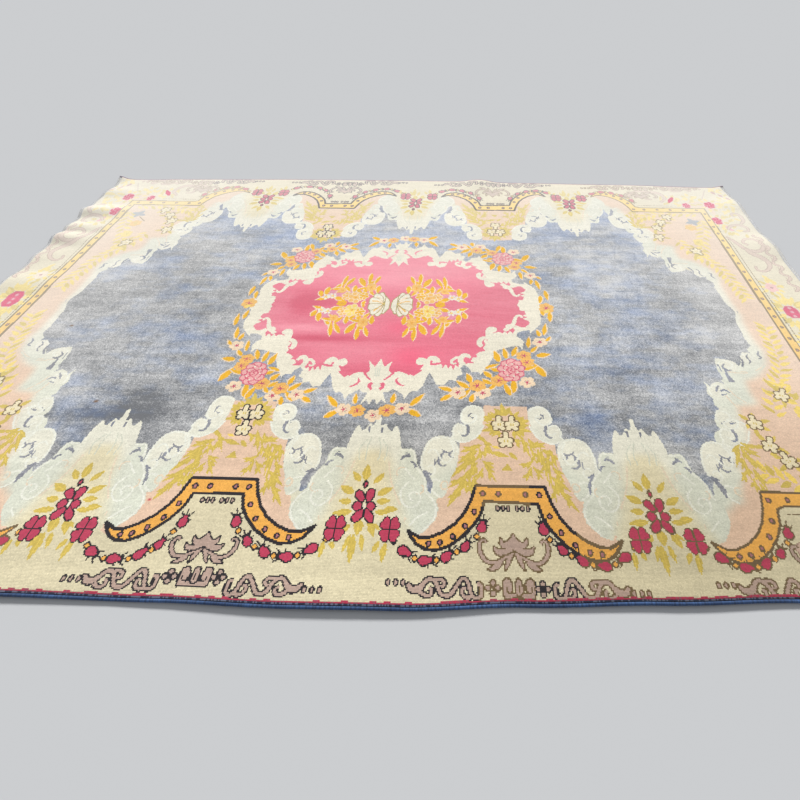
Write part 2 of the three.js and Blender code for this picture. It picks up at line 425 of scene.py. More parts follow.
GARLAND = [  # one side of an arch: x from the flat's end (inward is positive), y, and turn of each bud; then the gems
    [(25, -815, -5), (-5, -871, -28), (-37, -894, -40), (-88, -907, -88), (-145, -893, -118)],
    [(13, -841), (-16, -885), (-57, -906), (-112, -907), (-164, -878)]]
GARLAND_WIDE = [
    [(14, -817, 12), (-23, -865, 30), (-64, -889, 42), (-110, -900, 84), (-157, -881, 118)],
    [(2, -842), (-42, -879), (-86, -898), (-134, -896), (-184, -857)]]


def garland(at, x0, side, dark=BLACK, fill=PINK, stretch=1.0, dy=0.0, table=GARLAND_WIDE):
    """Buds and gems strung under one arm, from the flat's end x0 outward."""
    buds, gems = table
    for k, (x, y, turn) in enumerate(buds):
        bud(at.at(x0 - side * x * stretch, y + dy, side * turn if table is GARLAND_WIDE else -side * turn), dark, fill, (1.0, 0.9, 1.0, 1.02, 1.04)[k])
    for x, y in gems:
        diamond(at.at(x0 - side * x * stretch, y + dy), dark)


def palmette(at, dark=BLACK, fill=MAUVE):
    """A spread palmette with a curled stem on each side, standing on two pairs of leaves."""
    group(at, mirror([
        ("area", [(25, -28), (33, -27), (42, -33), (47, -38), (55, -43), (45, -44), (35, -41), (27, -34)]),
        ("area", [(1, -6), (9, -14), (16, -24), (18, -33), (20, -43), (12, -34), (7, -24), (1, -12)]),
        ("band", [(8, -12), (20, -21), (34, -28), (48, -30), (60, -26), (69, -14), (72, 0), (69, 10), (62, 13), (57, 7)], [4, 5, 5, 5, 6, 7, 7, 6, 5, 4], 4)]), dark, fill, 3.4)
    group(at, mirror([
        ("area", [(6, 0), (14, -4), (24, -4), (34, -5), (42, 0), (41, -7), (38, -13), (30, -16), (19, -15), (10, -11), (2, -7)])]), dark, fill, 3.4)
    crown = [(0, 26), (5, 18), (13, 10), (21, 8), (28, 17), (29, 7), (24, -1), (14, -4), (4, -3), (0, -7)]
    group(at, [("area", crown + [(-x, y) for x, y in crown[::-1]])], dark, fill, 3.4)
    area([(0, 6), (8, 0), (24, -5), (26, -10), (10, -8), (0, -4), (-10, -8), (-26, -10), (-24, -5), (-8, 0)], fill, at=at)


SCROLL_BANDS = (
    ([(-66, -3), (-56, -6), (-50, 2), (-44, 12), (-36, 17), (-27, 15), (-20, 7), (-15, -5), (-9, -14), (2, -17), (11, -13), (18, -2), (26, 10), (33, 19), (41, 18), (47, 8), (51, -6), (56, -17), (65, -20),
      (73, -15), (74, -2), (72, 8), (64, 8)], 8.0, 6.5),
    ([(-54, -11), (-46, -16), (-37, -18), (-30, -13), (-30, -5), (-36, -2)], 8.0, 5.0),
    ([(-26, 15), (-16, 17), (-7, 15), (-3, 8), (-7, 2), (-12, 4)], 7.5, 5.0),
    ([(54, -17), (46, -20), (37, -16), (33, -7), (36, 0), (41, -2)], 7.5, 5.0))
SCROLL_HEAD = [(-84, 6), (-78, 7), (-70, 0), (-60, 2), (-52, 8), (-50, -4), (-56, -12), (-68, -13), (-78, -9)]


def scroll(at, dark=BLACK, fill=MAUVE):
    """A running scroll with a leaf head at its left end and a curl under or over each bend."""
    group(at, [("band", p, w0, w1) for p, w0, w1 in SCROLL_BANDS] + [("area", SCROLL_HEAD)], dark, fill, 3.6)
    line([(66, 2), (66, -8), (60, -12)], dark, 2.9, at=at)


def quatrefoil(at, dark=BLACK, fill=MAUVE):
    for r, colour in ((8.4, dark), (4.6, fill)):
        for dx, dy in ((0, 11), (0, -11), (10.5, 0), (-10.5, 0)):
            disc(dx, dy, r, colour, at=at)
    disc(0, 0, 3.4, dark, at=at)


def omega(at, dark=BLACK, fill=MAUVE):
    """Two curled blocks joined below a small spade."""
    group(at, mirror([("area", [(12, -17), (17, -9), (16, -1), (15, 10), (19, 20), (26, 21), (32, 17), (33, 5), (33, -8), (30, -18)])]) + [("band", [(-22, -14), (0, -13), (22, -14)], 7.0, 7.0)], dark, fill)
    group(at, [("area", [(0, 22), (-4, 18), (-6.5, 6), (-7, -6), (-2, -12), (2, -12), (7, -6), (6.5, 6), (4, 18)])], dark, fill)
    for s in (1, -1):
        line([(14, -3), (20, -8), (26, -6), (26, 3)], dark, 2.9, at=at.at(0, 0, 0, s, 1))
    line([(0, 8), (0, -4)], dark, 3.2, at=at)


def cluster_flower(at, dark=BLACK, fill=CREAM2, r=1.0):
    """A small flower: one long petal up, two at the sides and two below."""
    q = at.at(0, 0, 0, r, r)
    petals = ((90, 31, 14), (168, 20, 16), (12, 20, 16), (234, 23, 14), (306, 23, 14))
    for grow, colour in ((3.4, dark), (-0.4, fill)):
        for turn, n, w in petals:
            leaf(q.at(0, 0, turn - 90), n + grow, w + 2 * grow, colour)
            a = np.radians(turn)
            disc((n - w / 2) * np.cos(a), (n - w / 2) * np.sin(a), w / 2 + grow, colour, at=q)
        disc(0, 0, 7 + grow, colour, at=q)
    line([(-3, 3), (-3, -3)], OLIVE, 2.8, at=q)
    line([(4, 3), (4, -3)], OLIVE, 2.8, at=q)


def garden_flower(at, fill=ORANGE, eye=CHERRY, n=6, r=14, lobe=9.8):
    """A round flower of n lobes with a dark eye, without an outline."""
    for k in range(n):
        a = np.radians(360 / n * k + 20)
        disc(r * np.cos(a), r * np.sin(a), lobe, fill, at=at, ry=lobe * 0.92)
    disc(0, 0, r * 0.7, fill, at=at)
    for k in range(n):
        a = np.radians(360 / n * (k + 0.5) + 20)
        line([(r * 0.4 * np.cos(a), r * 0.4 * np.sin(a)), (r * 0.72 * np.cos(a), r * 0.72 * np.sin(a))], eye, 2.4, at=at)
    disc(0, 0, 4.0, eye, at=at)


def blossom(at, fill=PEACH, eye=CHERRY):
    """A five-petalled flower with separate petals and a small dark eye."""
    for k in range(5):
        a = np.radians(72 * k + 100)
        disc(15 * np.cos(a), 15 * np.sin(a), 10, fill, at=at, ry=8.6, turn=72 * k + 10)
        line([(0, 0), (15 * np.cos(a), 15 * np.sin(a))], fill, 8, at=at)
        line([(0, 0), (8 * np.cos(a), 8 * np.sin(a))], eye, 2.4, at=at)
    disc(0, 0, 4.2, eye, at=at)


def rose(at):
    """A full rose: rings of petals in two pinks."""
    disc(0, 0, 36, LILAC, at=at, ry=47)
    for k in range(9):
        a = np.radians(40 * k + 12)
        disc(25 * np.cos(a), 35 * np.sin(a), 14, ROSE, at=at, edge=ROSE2, width=3.4, ry=13)
    for k in range(6):
        a = np.radians(60 * k + 30)
        disc(13 * np.cos(a), 19 * np.sin(a), 11, ROSE, at=at, edge=ROSE2, width=3.4, ry=12)
    disc(0, 0, 11, ROSE, at=at, edge=ROSE2, width=3.6, ry=14)
    line([(-5, -8), (4, -2), (-3, 5), (5, 9)], ROSE2, 3.4, at=at)
    for k in range(7):
        a = np.radians(51 * k)
        disc(20 * np.cos(a), 28 * np.sin(a), 3, WHITE, at=at)


def wreath_leaf(at, length=46, width=15, rim=PEACH):
    """A gold leaf with a pale rim on one side."""
    leaf(at.at(-1.6, -1.5), length + 5, width + 4.6, rim)
    leaf(at, length, width, GOLD)


def curl(at, r, colour, turns=1.1, w0=9.0, w1=4.5, start=0.0, edge=None, over=None):
    """A spiral stroke that winds inward from radius r."""
    n = 26
    a = np.radians(start) + np.linspace(0, 2 * np.pi * turns, n)
    rr = r * (1 - 0.78 * np.linspace(0, 1, n) ** 0.9)
    return taper(np.column_stack([rr * np.cos(a), rr * np.sin(a)]), colour, w0, w1, at=at, edge=edge, over=over, curve=False)
# ---- the design, in millimetres on the floor, from the rug's middle; near is -y ----
NEAR, FAR = Place(), Place(0, 0, 0, 1, -1)     # the far half mirrors the near one
CORNERS = (Place(), Place(0, 0, 0, -1, 1), Place(0, 0, 0, 1, -1), Place(0, 0, 0, -1, -1))   # near left first
PALE = (MINT, SHELL, BEIGE)                    # the yarns that shade softly into each other


def tower(at, c, span):
    """Blush ground above one ribbon arch; c is its middle, span its half width at the flat."""
    side = [(60, -446), (66, -500), (74, -540), (98, -568), (124, -578), (126, -610), (132, -650), (146, -690), (156, -728), (176, -744), (182, -775), (206, -812), (238, -830)]
    arm = [(span + x - 6, -720 + y) for x, y in ARM_OUTER[::-1]]
    half = side + arm
    area([(c - x, y) for x, y in half] + [(c + x, y) for x, y in half[::-1]], BLUSH, at=at)


def volutes(at, c, s, up=0.0):
    """The upper hook and the lower volute beside a tower, on its side s; up raises the hook's head."""
    q = at.at(c, 0, 0, s, 1)
    area([(60, -484), (62, -466 + up), (74, -455 + up), (92, -451 + up), (110, -457 + up), (122, -472 + up * 0.7), (126, -492), (121, -507), (113, -513), (117, -521), (124, -513), (133, -511),
          (142, -520), (146, -538), (143, -553), (150, -562), (134, -573), (115, -577), (98, -570), (80, -552), (68, -525)], SHELL, at=q, curve=True)
    area([(62, -520), (74, -522), (84, -545), (104, -562), (130, -562), (146, -558), (134, -573), (115, -577), (98, -570), (80, -552)], MINT, at=q, curve=True)
    taper([(107, -514), (104, -528), (105, -545), (113, -554), (122, -552)], SLIT, [7, 9, 8, 6, 4], 4, at=q)
    taper([(86, -488), (92, -492), (98, -486)], SLIT, [2, 4, 2], 2, at=q)
    taper([(94, -478 + up * 0.5), (101, -482 + up * 0.5), (104, -490)], SLIT, [3, 5, 3], 3, at=q)
    for pts in ([(62, -518), (78, -552), (98, -568), (116, -575), (134, -570), (147, -562), (142, -550), (145, -538), (140, -522), (132, -514), (122, -515), (113, -520)],
                [(66, -468 + up), (78, -458 + up), (92, -454 + up), (108, -459 + up), (120, -474 + up * 0.7), (123, -492), (118, -505), (108, -512), (96, -510), (84, -498), (82, -486), (90, -480)]):
        line(pts, RIM, 5.0, at=q, curve=True)
    line([(112, -528), (112, -542), (122, -545), (130, -538)], RIM, 3.4, at=q, curve=True)
    area([(126, -606), (132, -580), (146, -563), (164, -556), (184, -556), (202, -566), (214, -584), (220, -606), (224, -634), (221, -658), (212, -676), (200, -700), (190, -730), (168, -742),
          (156, -726), (146, -690), (133, -650)], SHELL, at=q, curve=True)
    area([(132, -650), (150, -650), (176, -668), (196, -700), (190, -730), (168, -742), (156, -728), (146, -690)], MINT, at=q, curve=True)
    taper([(143, -603), (151, -614), (147, -622), (140, -622)], SLIT, [3, 6, 5, 3], 3, at=q)
    taper([(151, -610), (162, -607), (171, -599)], SLIT, [4, 6, 3], 3, at=q)
    line([(165, -606), (172, -616)], SLIT, 4.0, at=q)
    taper([(168, -610), (175, -625), (180, -641)], SLIT, [4, 13, 5], 5, at=q)
    taper([(180, -641), (168, -650), (157, -647)], SLIT, [5, 6, 3], 3, at=q)
    for pts in ([(130, -606), (136, -584), (148, -567), (164, -560), (184, -560), (200, -569), (211, -586), (217, -606), (221, -634), (218, -656), (208, -674), (196, -678), (186, -668), (188, -654), (197, -648), (205, -654)],
                [(150, -572), (142, -590), (140, -604), (147, -630), (160, -640), (174, -626), (184, -606), (196, -600), (206, -610)], [(170, -738), (186, -726), (194, -702), (184, -690), (160, -700)]):
        line(pts, RIM, 5.0, at=q, curve=True)
    taper([(188, -628), (186, -642), (190, -652)], SLIT, [2, 4, 2], 2, at=q)
    taper([(194, -676), (204, -672), (211, -664)], SLIT, [4, 7, 4], 4, at=q)
    taper([(216, -666), (205, -680), (197, -700), (194, -724)], SLIT, [4, 11, 14, 4], 4, at=q)
    disc(160, -706, 11, HUSH, at=q, ry=14)
    disc(160, -706, 7, MINT, at=q, ry=9)


def shell_flank(at, c, s):
    """Pale acanthus flank between a shell and the blush ground on its side s."""
    q = at.at(c, 0, 0, s, 1)
    area([(54, -604), (66, -607), (74, -599), (84, -600), (97, -597), (107, -604), (113, -622), (117, -650), (130, -668), (142, -690), (147, -722), (168, -742), (176, -770), (170, -800),
          (142, -832), (118, -840), (96, -800), (74, -740), (58, -690), (50, -640)], MINT, at=q)
    taper([(74, -634), (80, -625), (91, -620), (98, -625)], SLIT, [3, 8, 9, 4], 4, at=q)
    taper([(98, -640), (108, -643), (114, -656)], SLIT, [3, 6, 8], 8, at=q)
    taper([(84, -612), (94, -615)], SLIT, [3, 3], 3, at=q, curve=False)
    for pts in ([(58, -608), (70, -604), (84, -604), (97, -602), (104, -608), (109, -624), (113, -652), (126, -670), (138, -692), (143, -724), (160, -744), (171, -772), (164, -800), (140, -828)],
                [(100, -700), (84, -722), (88, -752), (108, -768), (128, -756), (130, -734), (114, -726), (104, -738), (112, -750)], [(150, -780), (132, -790), (112, -812)], [(88, -660), (100, -676), (112, -690)]):
        line(pts, RIM, 4.4, at=q, over=PALE + (SHELL,), curve=True)
    for x, y, r, t in ((78, -672, 15, 0.4), (96, -700, 12, 2.2), (128, -716, 13, 4.0), (140, -776, 14, 1.0), (92, -796, 13, 3.0), (70, -720, 14, 5.0), (120, -806, 12, 5.6), (66, -646, 12, 3.4)):
        a = t + np.linspace(0, 3.4, 12)
        rr = r * (1 - 0.35 * np.linspace(0, 1, 12))
        line(np.column_stack([x + rr * np.cos(a), y + rr * 1.2 * np.sin(a)]), (GHOST, HUSH)[int(x + r) % 2], 3.4, at=q, over=PALE)


def shell(at, c, tip=-487):
    """A stepped feather shell that rises from the border into the field."""
    k = tip + 487
    half = [(0, -485 + k), (6, -491 + k), (7, -510), (9, -522), (14, -524), (19, -517), (23, -519), (28, -530), (34, -540), (41, -543), (46, -530), (50, -524), (55, -528), (61, -545),
            (66, -566), (70, -590), (72, -612), (70, -650), (60, -700)]
    area([(c - x, y) for x, y in half] + [(c + x, y) for x, y in half[::-1]], SHELL, at=at)
    taper([(c - 22, -528), (c - 20, -548)], SLIT, [7, 3], 3, at=at, curve=False)
    taper([(c + 15, -530), (c + 13, -548)], SLIT, [6, 4], 4, at=at, curve=False)
    area([(c - 50, -640), (c - 30, -606), (c + 30, -606), (c + 50, -640), (c + 58, -690), (c + 74, -740), (c + 96, -800), (c + 112, -840), (c - 112, -840), (c - 96, -800), (c - 74, -740),
          (c - 58, -690)], BEIGE, at=at)
    for x in (-40, -20, 20, 40):
        line([(c + x * 0.5, -560 - abs(x) * 0.3), (c + x * 0.9, -600), (c + x * 0.8, -636)], GHOST, 3.0, at=at, over=PALE, curve=True)
    for x in (-44, 44):
        line([(c + x, -640), (c + x * 1.3, -700), (c + x * 1.9, -760)], HUSH, 4.0, at=at, over=PALE, curve=True)


def stroke_leaf(at, x0, y0, x1, y1, width, colour, over=None, teeth=0):
    """A long leaf from one point to another."""
    turn = np.degrees(np.arctan2(-(x1 - x0), y1 - y0))
    leaf(at.at(x0, y0, turn), float(np.hypot(x1 - x0, y1 - y0)), width, colour, teeth=teeth, over=over)


def sprig(at, pts, count, length, width, colours, over=None):
    """Leaves to the left and right of a curved stem."""
    p = smooth(pts, n=8)
    for k in range(count):
        f = (k + 0.5) / count * (len(p) - 1)
        i = min(int(f), len(p) - 2)
        x, y = p[i] + (p[i + 1] - p[i]) * (f - i)
        dx, dy = p[i + 1] - p[i]
        way = np.degrees(np.arctan2(-dx, dy)) + (52, -48)[k % 2]
        n = length * (0.85 + 0.3 * ((k * 37) % 10) / 10)
        leaf(at.at(x, y, way), n, width * (0.9 + 0.25 * ((k * 53) % 10) / 10), colours[k % len(colours)], over=over)


def halo(at, x, y, rx, ry, length, width, count, colours, phase=0.0, over=None):
    """Leaves that stand out all round a flower."""
    for k in range(count):
        a = np.radians(360.0 / count * k + phase)
        leaf(at.at(x + rx * np.cos(a), y + ry * np.sin(a), np.degrees(a) - 90 + (8, -6)[k % 2]), length * (1.0, 0.8)[k % 2], width, colours[k % len(colours)], over=over)


WHEAT_LEFT = [  # from x, y (tower's middle = 0) to x, y, and width
    (-63, -562, -38, -616, 13), (-55, -582, -60, -622, 11), (-75, -592, -70, -632, 10), (-72, -584, -122, -606, 20), (-84, -604, -127, -640, 22), (-96, -606, -90, -656, 22),
    (-100, -632, -142, -680, 20), (-92, -636, -88, -676, 16), (-64, -634, -38, -654, 14), (-60, -646, -34, -692, 11), (-66, -656, -84, -692, 11), (-108, -680, -148, -710, 18),
    (-112, -682, -108, -722, 12), (-100, -684, -94, -730, 10), (-88, -680, -92, -718, 9), (-118, -704, -150, -762, 20), (-98, -660, -120, -700, 14), (-82, -640, -100, -690, 12)]
WHEAT_RIGHT = [
    (38, -556, 56, -616, 14), (16, -560, 34, -578, 12), (56, -560, 70, -596, 12), (60, -584, 96, -574, 20), (62, -596, 70, -634, 10), (78, -596, 84, -644, 13), (86, -598, 96, -696, 11),
    (90, -594, 112, -612, 15), (100, -606, 102, -706, 12), (110, -598, 122, -650, 13), (112, -648, 132, -686, 14), (106, -678, 146, -716, 16), (112, -690, 118, -728, 12),
    (120, -712, 158, -770, 16), (106, -700, 108, -744, 10), (60, -632, 34, -650, 14), (56, -650, 40, -690, 12), (62, -648, 84, -684, 10)]


def wheat(at, c, s, table):
    """A drooping spray of olive-gold leaves on the blush ground."""
    q = at.at(c, 0, 0, s, 1)
    for k, (x0, y0, x1, y1, w) in enumerate(table):
        dx, dy = x1 - x0, y1 - y0
        n = float(np.hypot(dx, dy))
        stroke_leaf(q, x0 - 0.12 * dx, y0 - 0.12 * dy, x1 + 0.08 * dx, y1 + 0.08 * dy, w * 0.8, OLIVE)
        for f, s2 in ((0.2, 1), (0.45, -1)):                            # one leaf on each side
            bx, by = x0 + f * dx, y0 + f * dy
            ux, uy = dx / n, dy / n
            stroke_leaf(q, bx, by, bx + 24 * (0.82 * ux - 0.5 * s2 * uy), by + 24 * (0.82 * uy + 0.5 * s2 * ux), 9, OLIVE, over=(BLUSH, OLIVE))
        line([(x0 + 0.1 * dx, y0 + 0.1 * dy), (x0 + 0.8 * dx, y0 + 0.8 * dy)], STRAW, 2.6, at=q, over=(OLIVE,))
    stroke_leaf(q, -90, -543, -54, -576, 13, OLIVE, over=(BLUSH, OLIVE))


def rosette(at, c, dark=BLACK, dy=0.0):
    """Olive-gold leaves round three small flowers at the top of a tower."""
    for x, y, r, h in ((-62, -454, 16, 14), (-40, -442, 12, 12), (-8, -432, 20, 20), (26, -450, 15, 16), (52, -470, 16, 15), (44, -500, 22, 14), (28, -514, 16, 12), (-46, -500, 14, 20), (-30, -514, 12, 14),
                       (-44, -478, 10, 12)):
        out = np.degrees(np.arctan2(y + 486, x)) - 90
        for off, f in ((0, 1.0), (38, 0.8), (-38, 0.8)):
            leaf(at.at(c + 0.62 * x, -486 + 0.62 * (y + 486) + dy, out + off), (r + h) * 1.2 * f, (r + h) * 0.42, OLIVE, over=(BLUSH, FIELD, OLIVE, LEMON))
        leaf(at.at(c + 0.8 * x, -486 + 0.8 * (y + 486) + dy, out + 10), (r + h) * 0.7, 5.0, STRAW, over=(OLIVE,))
    area([(c - 30, -474 + dy), (c + 28, -474 + dy), (c + 24, -498 + dy), (c + 12, -510 + dy), (c + 14, -560 + dy), (c - 20, -560 + dy), (c - 16, -510 + dy), (c - 28, -496 + dy)], BLUSH, at=at, over=(OLIVE, LEMON))
    for x, y in ((-4, -538), (-20, -483), (15, -483)):
        cluster_flower(at.at(c + x, y + dy), dark)
    stroke_leaf(at, c - 42, -574 + dy, c + 4, -590 + dy, 16, OLIVE)
    stroke_leaf(at, c + 2, -574 + dy, c + 24, -598 + dy, 13, OLIVE)
    stroke_leaf(at, c - 40, -556 + dy, c - 20, -562 + dy, 9, LEMON)
    area([(c - 20, -630 + dy), (c - 3, -608 + dy), (c + 9, -630 + dy)], OLIVE, at=at)


def meander_unit(at, mid, dark=BLACK, right=None, dy=0.0, low=0.0):
    """Rings, scroll, quatrefoil, omega, quatrefoil, scroll and rings, below one arch."""
    right = dark if right is None else right
    omega(at.at(mid, -943 + dy - low), dark)
    quatrefoil(at.at(mid - 55, -942 + dy - low), dark)
    quatrefoil(at.at(mid + 50, -942 + dy - low), right)
    scroll(at.at(mid - 153, -950 + dy - 0.6 * low), dark)
    scroll(at.at(mid + 149, -958 + dy, 0, -1, 1), right)
    for k in range(3):
        ring(at.at(mid - 260 + 16 * (k - 1), -952 + dy), dark)
        ring(at.at(mid + 254 + 16 * (k - 1), -964 + dy), right)


# grounds
ART[:] = CREAM
area([(-1172, 0), (-1150, -180), (-1075, -280), (-1010, -350), (-950, -440), (-940, -560), (-840, -730), (840, -730), (930, -560), (945, -440), (1010, -340), (1075, -270), (1145, -180), (1165, 0),
      (1145, 190), (1060, 260), (990, 340), (945, 440), (930, 560), (840, 730), (-840, 730), (-940, 560), (-950, 440), (-1000, 340), (-1070, 260), (-1150, 190)], FIELD)

FIELD_LINE = [(-1168, 30), (-1150, 12), (-1166, 2), (-1142, -30), (-1134, -60), (-1140, -100), (-1130, -140), (-1142, -165), (-1130, -180), (-1118, -192), (-1122, -208), (-1100, -204), (-1084, -222),
              (-1078, -250), (-1066, -268), (-1058, -250), (-1040, -240), (-1004, -234), (-996, -258), (-994, -290), (-998, -318), (-990, -332), (-996, -346), (-976, -334), (-956, -344), (-948, -356),
              (-935, -332), (-938, -356), (-930, -384), (-940, -404), (-936, -428), (-948, -442), (-936, -446), (-924, -464), (-916, -488), (-920, -508), (-930, -518), (-906, -522), (-898, -540),
              (-896, -566)]
BLUSH_LINE = [(-1168, 60), (-1152, -120), (-1168, -200), (-1156, -252), (-1128, -292), (-1094, -318), (-1060, -330), (-1056, -376), (-1062, -420), (-1036, -426), (-1000, -430), (-990, -470),
              (-984, -522), (-960, -562), (-926, -582), (-905, -590), (-903, -640), (-896, -690), (-880, -722), (-872, -748), (-856, -760), (-852, -784), (-842, -808), (-822, -836)]


def corner(q, bend, tip):
    """Blush ground inside a corner ribbon, and the pale scrolls between it and the field."""
    kx, ky = abs(tip[0] - bend[0]) / 160.0, (bend[1] - tip[1]) / 121.0
    arm = [(bend[0] + a * kx, bend[1] + b * ky - 10) for a, b in ARM_OUTER[::-1]]
    area(BLUSH_LINE + arm + [(bend[0], bend[1] - 14), (-1276, bend[1] - 14), (-1276, 60)], BLUSH, at=q)
    area(FIELD_LINE + [(-880, -600), (-840, -700)] + BLUSH_LINE[:0:-1], MINT, at=q)
    area([(-1160, 30), (-1136, -60), (-1132, -140), (-1138, -178), (-1150, -230), (-1162, -200), (-1158, -110)], SHELL, at=q)
    for x, y, r in ((-1106, -232, 28), (-1030, -266, 32), (-968, -372, 32), (-950, -470, 30)):
        disc(x, y, r, SHELL, at=q, over=PALE)
        a = np.linspace(-0.6, 4.6, 18)
        rr = r * np.linspace(0.95, 0.3, 18)
        line(np.column_stack([x + rr * np.cos(a), y + rr * np.sin(a)]), RIM, 4.6, at=q, over=PALE)
    taper([(-1152, -198), (-1144, -214), (-1148, -228), (-1136, -234)], SLIT, [3, 7, 6, 3], 3, at=q)
    taper([(-1112, -212), (-1104, -226), (-1108, -244), (-1100, -258)], SLIT, [3, 5, 5, 3], 3, at=q)
    taper([(-1080, -222), (-1084, -246), (-1074, -270)], SLIT, [3, 6, 7], 7, at=q)
    taper([(-1038, -284), (-1022, -286), (-1014, -271), (-1024, -258)], SLIT, [3, 9, 7, 3], 3, at=q)
    taper([(-1020, -284), (-1016, -300), (-1020, -336)], SLIT, [5, 9, 20], 20, at=q)
    line([(-1002, -262), (-1004, -290)], SLIT, 3.4, at=q)
    taper([(-998, -378), (-984, -368), (-972, -374)], SLIT, [3, 8, 4], 4, at=q)
    taper([(-976, -350), (-966, -362), (-960, -376)], SLIT, [3, 8, 3], 3, at=q)
    taper([(-988, -384), (-970, -389)], SLIT, [3, 5], 5, at=q, curve=False)
    taper([(-957, -497), (-945, -490), (-932, -495)], SLIT, [3, 5, 3], 3, at=q)
    line([(-944, -485), (-940, -503)], SLIT, 3.4, at=q)
    taper([(-934, -520), (-928, -538), (-918, -554)], SLIT, [9, 7, 11], 11, at=q)
    for k in range(4):
        line([(-1148 + 14 * k, -262 - 8 * k), (-1116 + 16 * k, -286 - 4 * k), (-1080 + 18 * k, -292)], (GHOST, HUSH)[k % 2], 3.6, at=q, over=PALE, curve=True)
        line([(-1044 + 14 * k, -404 - 12 * k), (-1020 + 10 * k, -380 - 12 * k), (-1006 + 8 * k, -350 - 14 * k)], (GHOST, HUSH)[k % 2], 3.6, at=q, over=PALE, curve=True)


TOWERS = ((NEAR, -357, 81, -8, BLACK), (NEAR, 346, 84, -30, BROWN), (FAR, -351, 79, 4, BLACK), (FAR, 354, 85, -28, BROWN))
BENDS = ((-950, -706), (-952, -706), (-968, -706), (-962, -706))
TIPS = ((-786, -834), (-790, -838), (-785, -836), (-800, -842))
for side, c, span, dy, dark in TOWERS:
    tower(side, c, span)
    volutes(side, c, -1, 24 if c < 0 else 6)
    volutes(side, c, 1, 0 if c < 0 else 6)
for side in (NEAR, FAR):
    for c in (-699, -2, 688):
        shell_flank(side, c, -1)
        shell_flank(side, c, 1)
        shell(side, c, -485 if c else -503)
for q, bend, tip in zip(CORNERS, BENDS, TIPS):
    corner(q, bend, tip)
    volutes(q, -1060 if bend[0] > -960 else -1066, 1, -26)
for side, c, span, dy, dark in TOWERS:
    wheat(side, c, 1, WHEAT_LEFT)
    wheat(side, c, 1, WHEAT_RIGHT)
    rosette(side, c, dark, dy)


# ---- medallion: one quarter is drawn (near left) and mirrored, a little stretched, as the weaver did ----
def quarter(kx, ky, lean):
    """Place that carries the near left quarter about the medallion's middle (-27, 4)."""
    p = Place()
    p.m = np.array([[kx, 0.0], [kx * lean, ky]])
    p.t = np.array([-27 + 27 * kx, 4 - 4 * ky + 27 * kx * lean])
    return p


QUARTERS = (quarter(1, 1, 0.0), quarter(-1.07, 1, 0.085), quarter(1, -0.9, 0.02), quarter(-1.07, -0.92, -0.02))
FRAME_OUT = [(-14, 30), (-512, 30), (-512, 5), (-504, -30), (-500, -60), (-506, -95), (-499, -128), (-486, -146), (-466, -170), (-464, -156), (-442, -158), (-426, -166), (-422, -184),
             (-434, -195), (-443, -212), (-436, -246), (-426, -230), (-402, -232), (-372, -243), (-352, -250), (-350, -274), (-334, -314), (-312, -352), (-308, -339), (-286, -336),
             (-280, -320), (-266, -306), (-256, -318), (-262, -346), (-248, -352), (-244, -372), (-226, -366), (-212, -386), (-190, -384), (-180, -354), (-170, -332), (-164, -346),
             (-154, -386), (-140, -408), (-126, -404), (-118, -414), (-108, -436), (-102, -416), (-88, -404), (-74, -394), (-62, -406), (-48, -404), (-63, -452), (-48, -432),
             (-38, -452), (-30, -430), (-14, -430)]
FRAME_IN = [(-14, 30), (-438, 30), (-436, 8), (-442, 2), (-434, -20), (-440, -50), (-455, -54), (-459, -72), (-448, -80), (-462, -88), (-447, -96), (-464, -108), (-468, -120),
            (-452, -140), (-438, -138), (-424, -128), (-414, -140), (-419, -152), (-412, -168), (-404, -154), (-396, -170), (-388, -156), (-380, -167), (-372, -158), (-352, -163),
            (-340, -150), (-331, -174), (-338, -186), (-328, -216), (-321, -232), (-326, -246), (-311, -250), (-300, -262), (-304, -273), (-291, -275), (-284, -290), (-295, -299),
            (-270, -300), (-254, -288), (-250, -314), (-241, -304), (-236, -326), (-228, -304), (-221, -318), (-214, -300), (-204, -318), (-202, -296), (-184, -303), (-166, -300),
            (-150, -305), (-146, -326), (-126, -345), (-117, -337), (-100, -350), (-90, -336), (-78, -325), (-62, -326), (-50, -310), (-36, -320), (-14, -320)]


def frame(q):
    area(FRAME_OUT, IVORY, at=q)


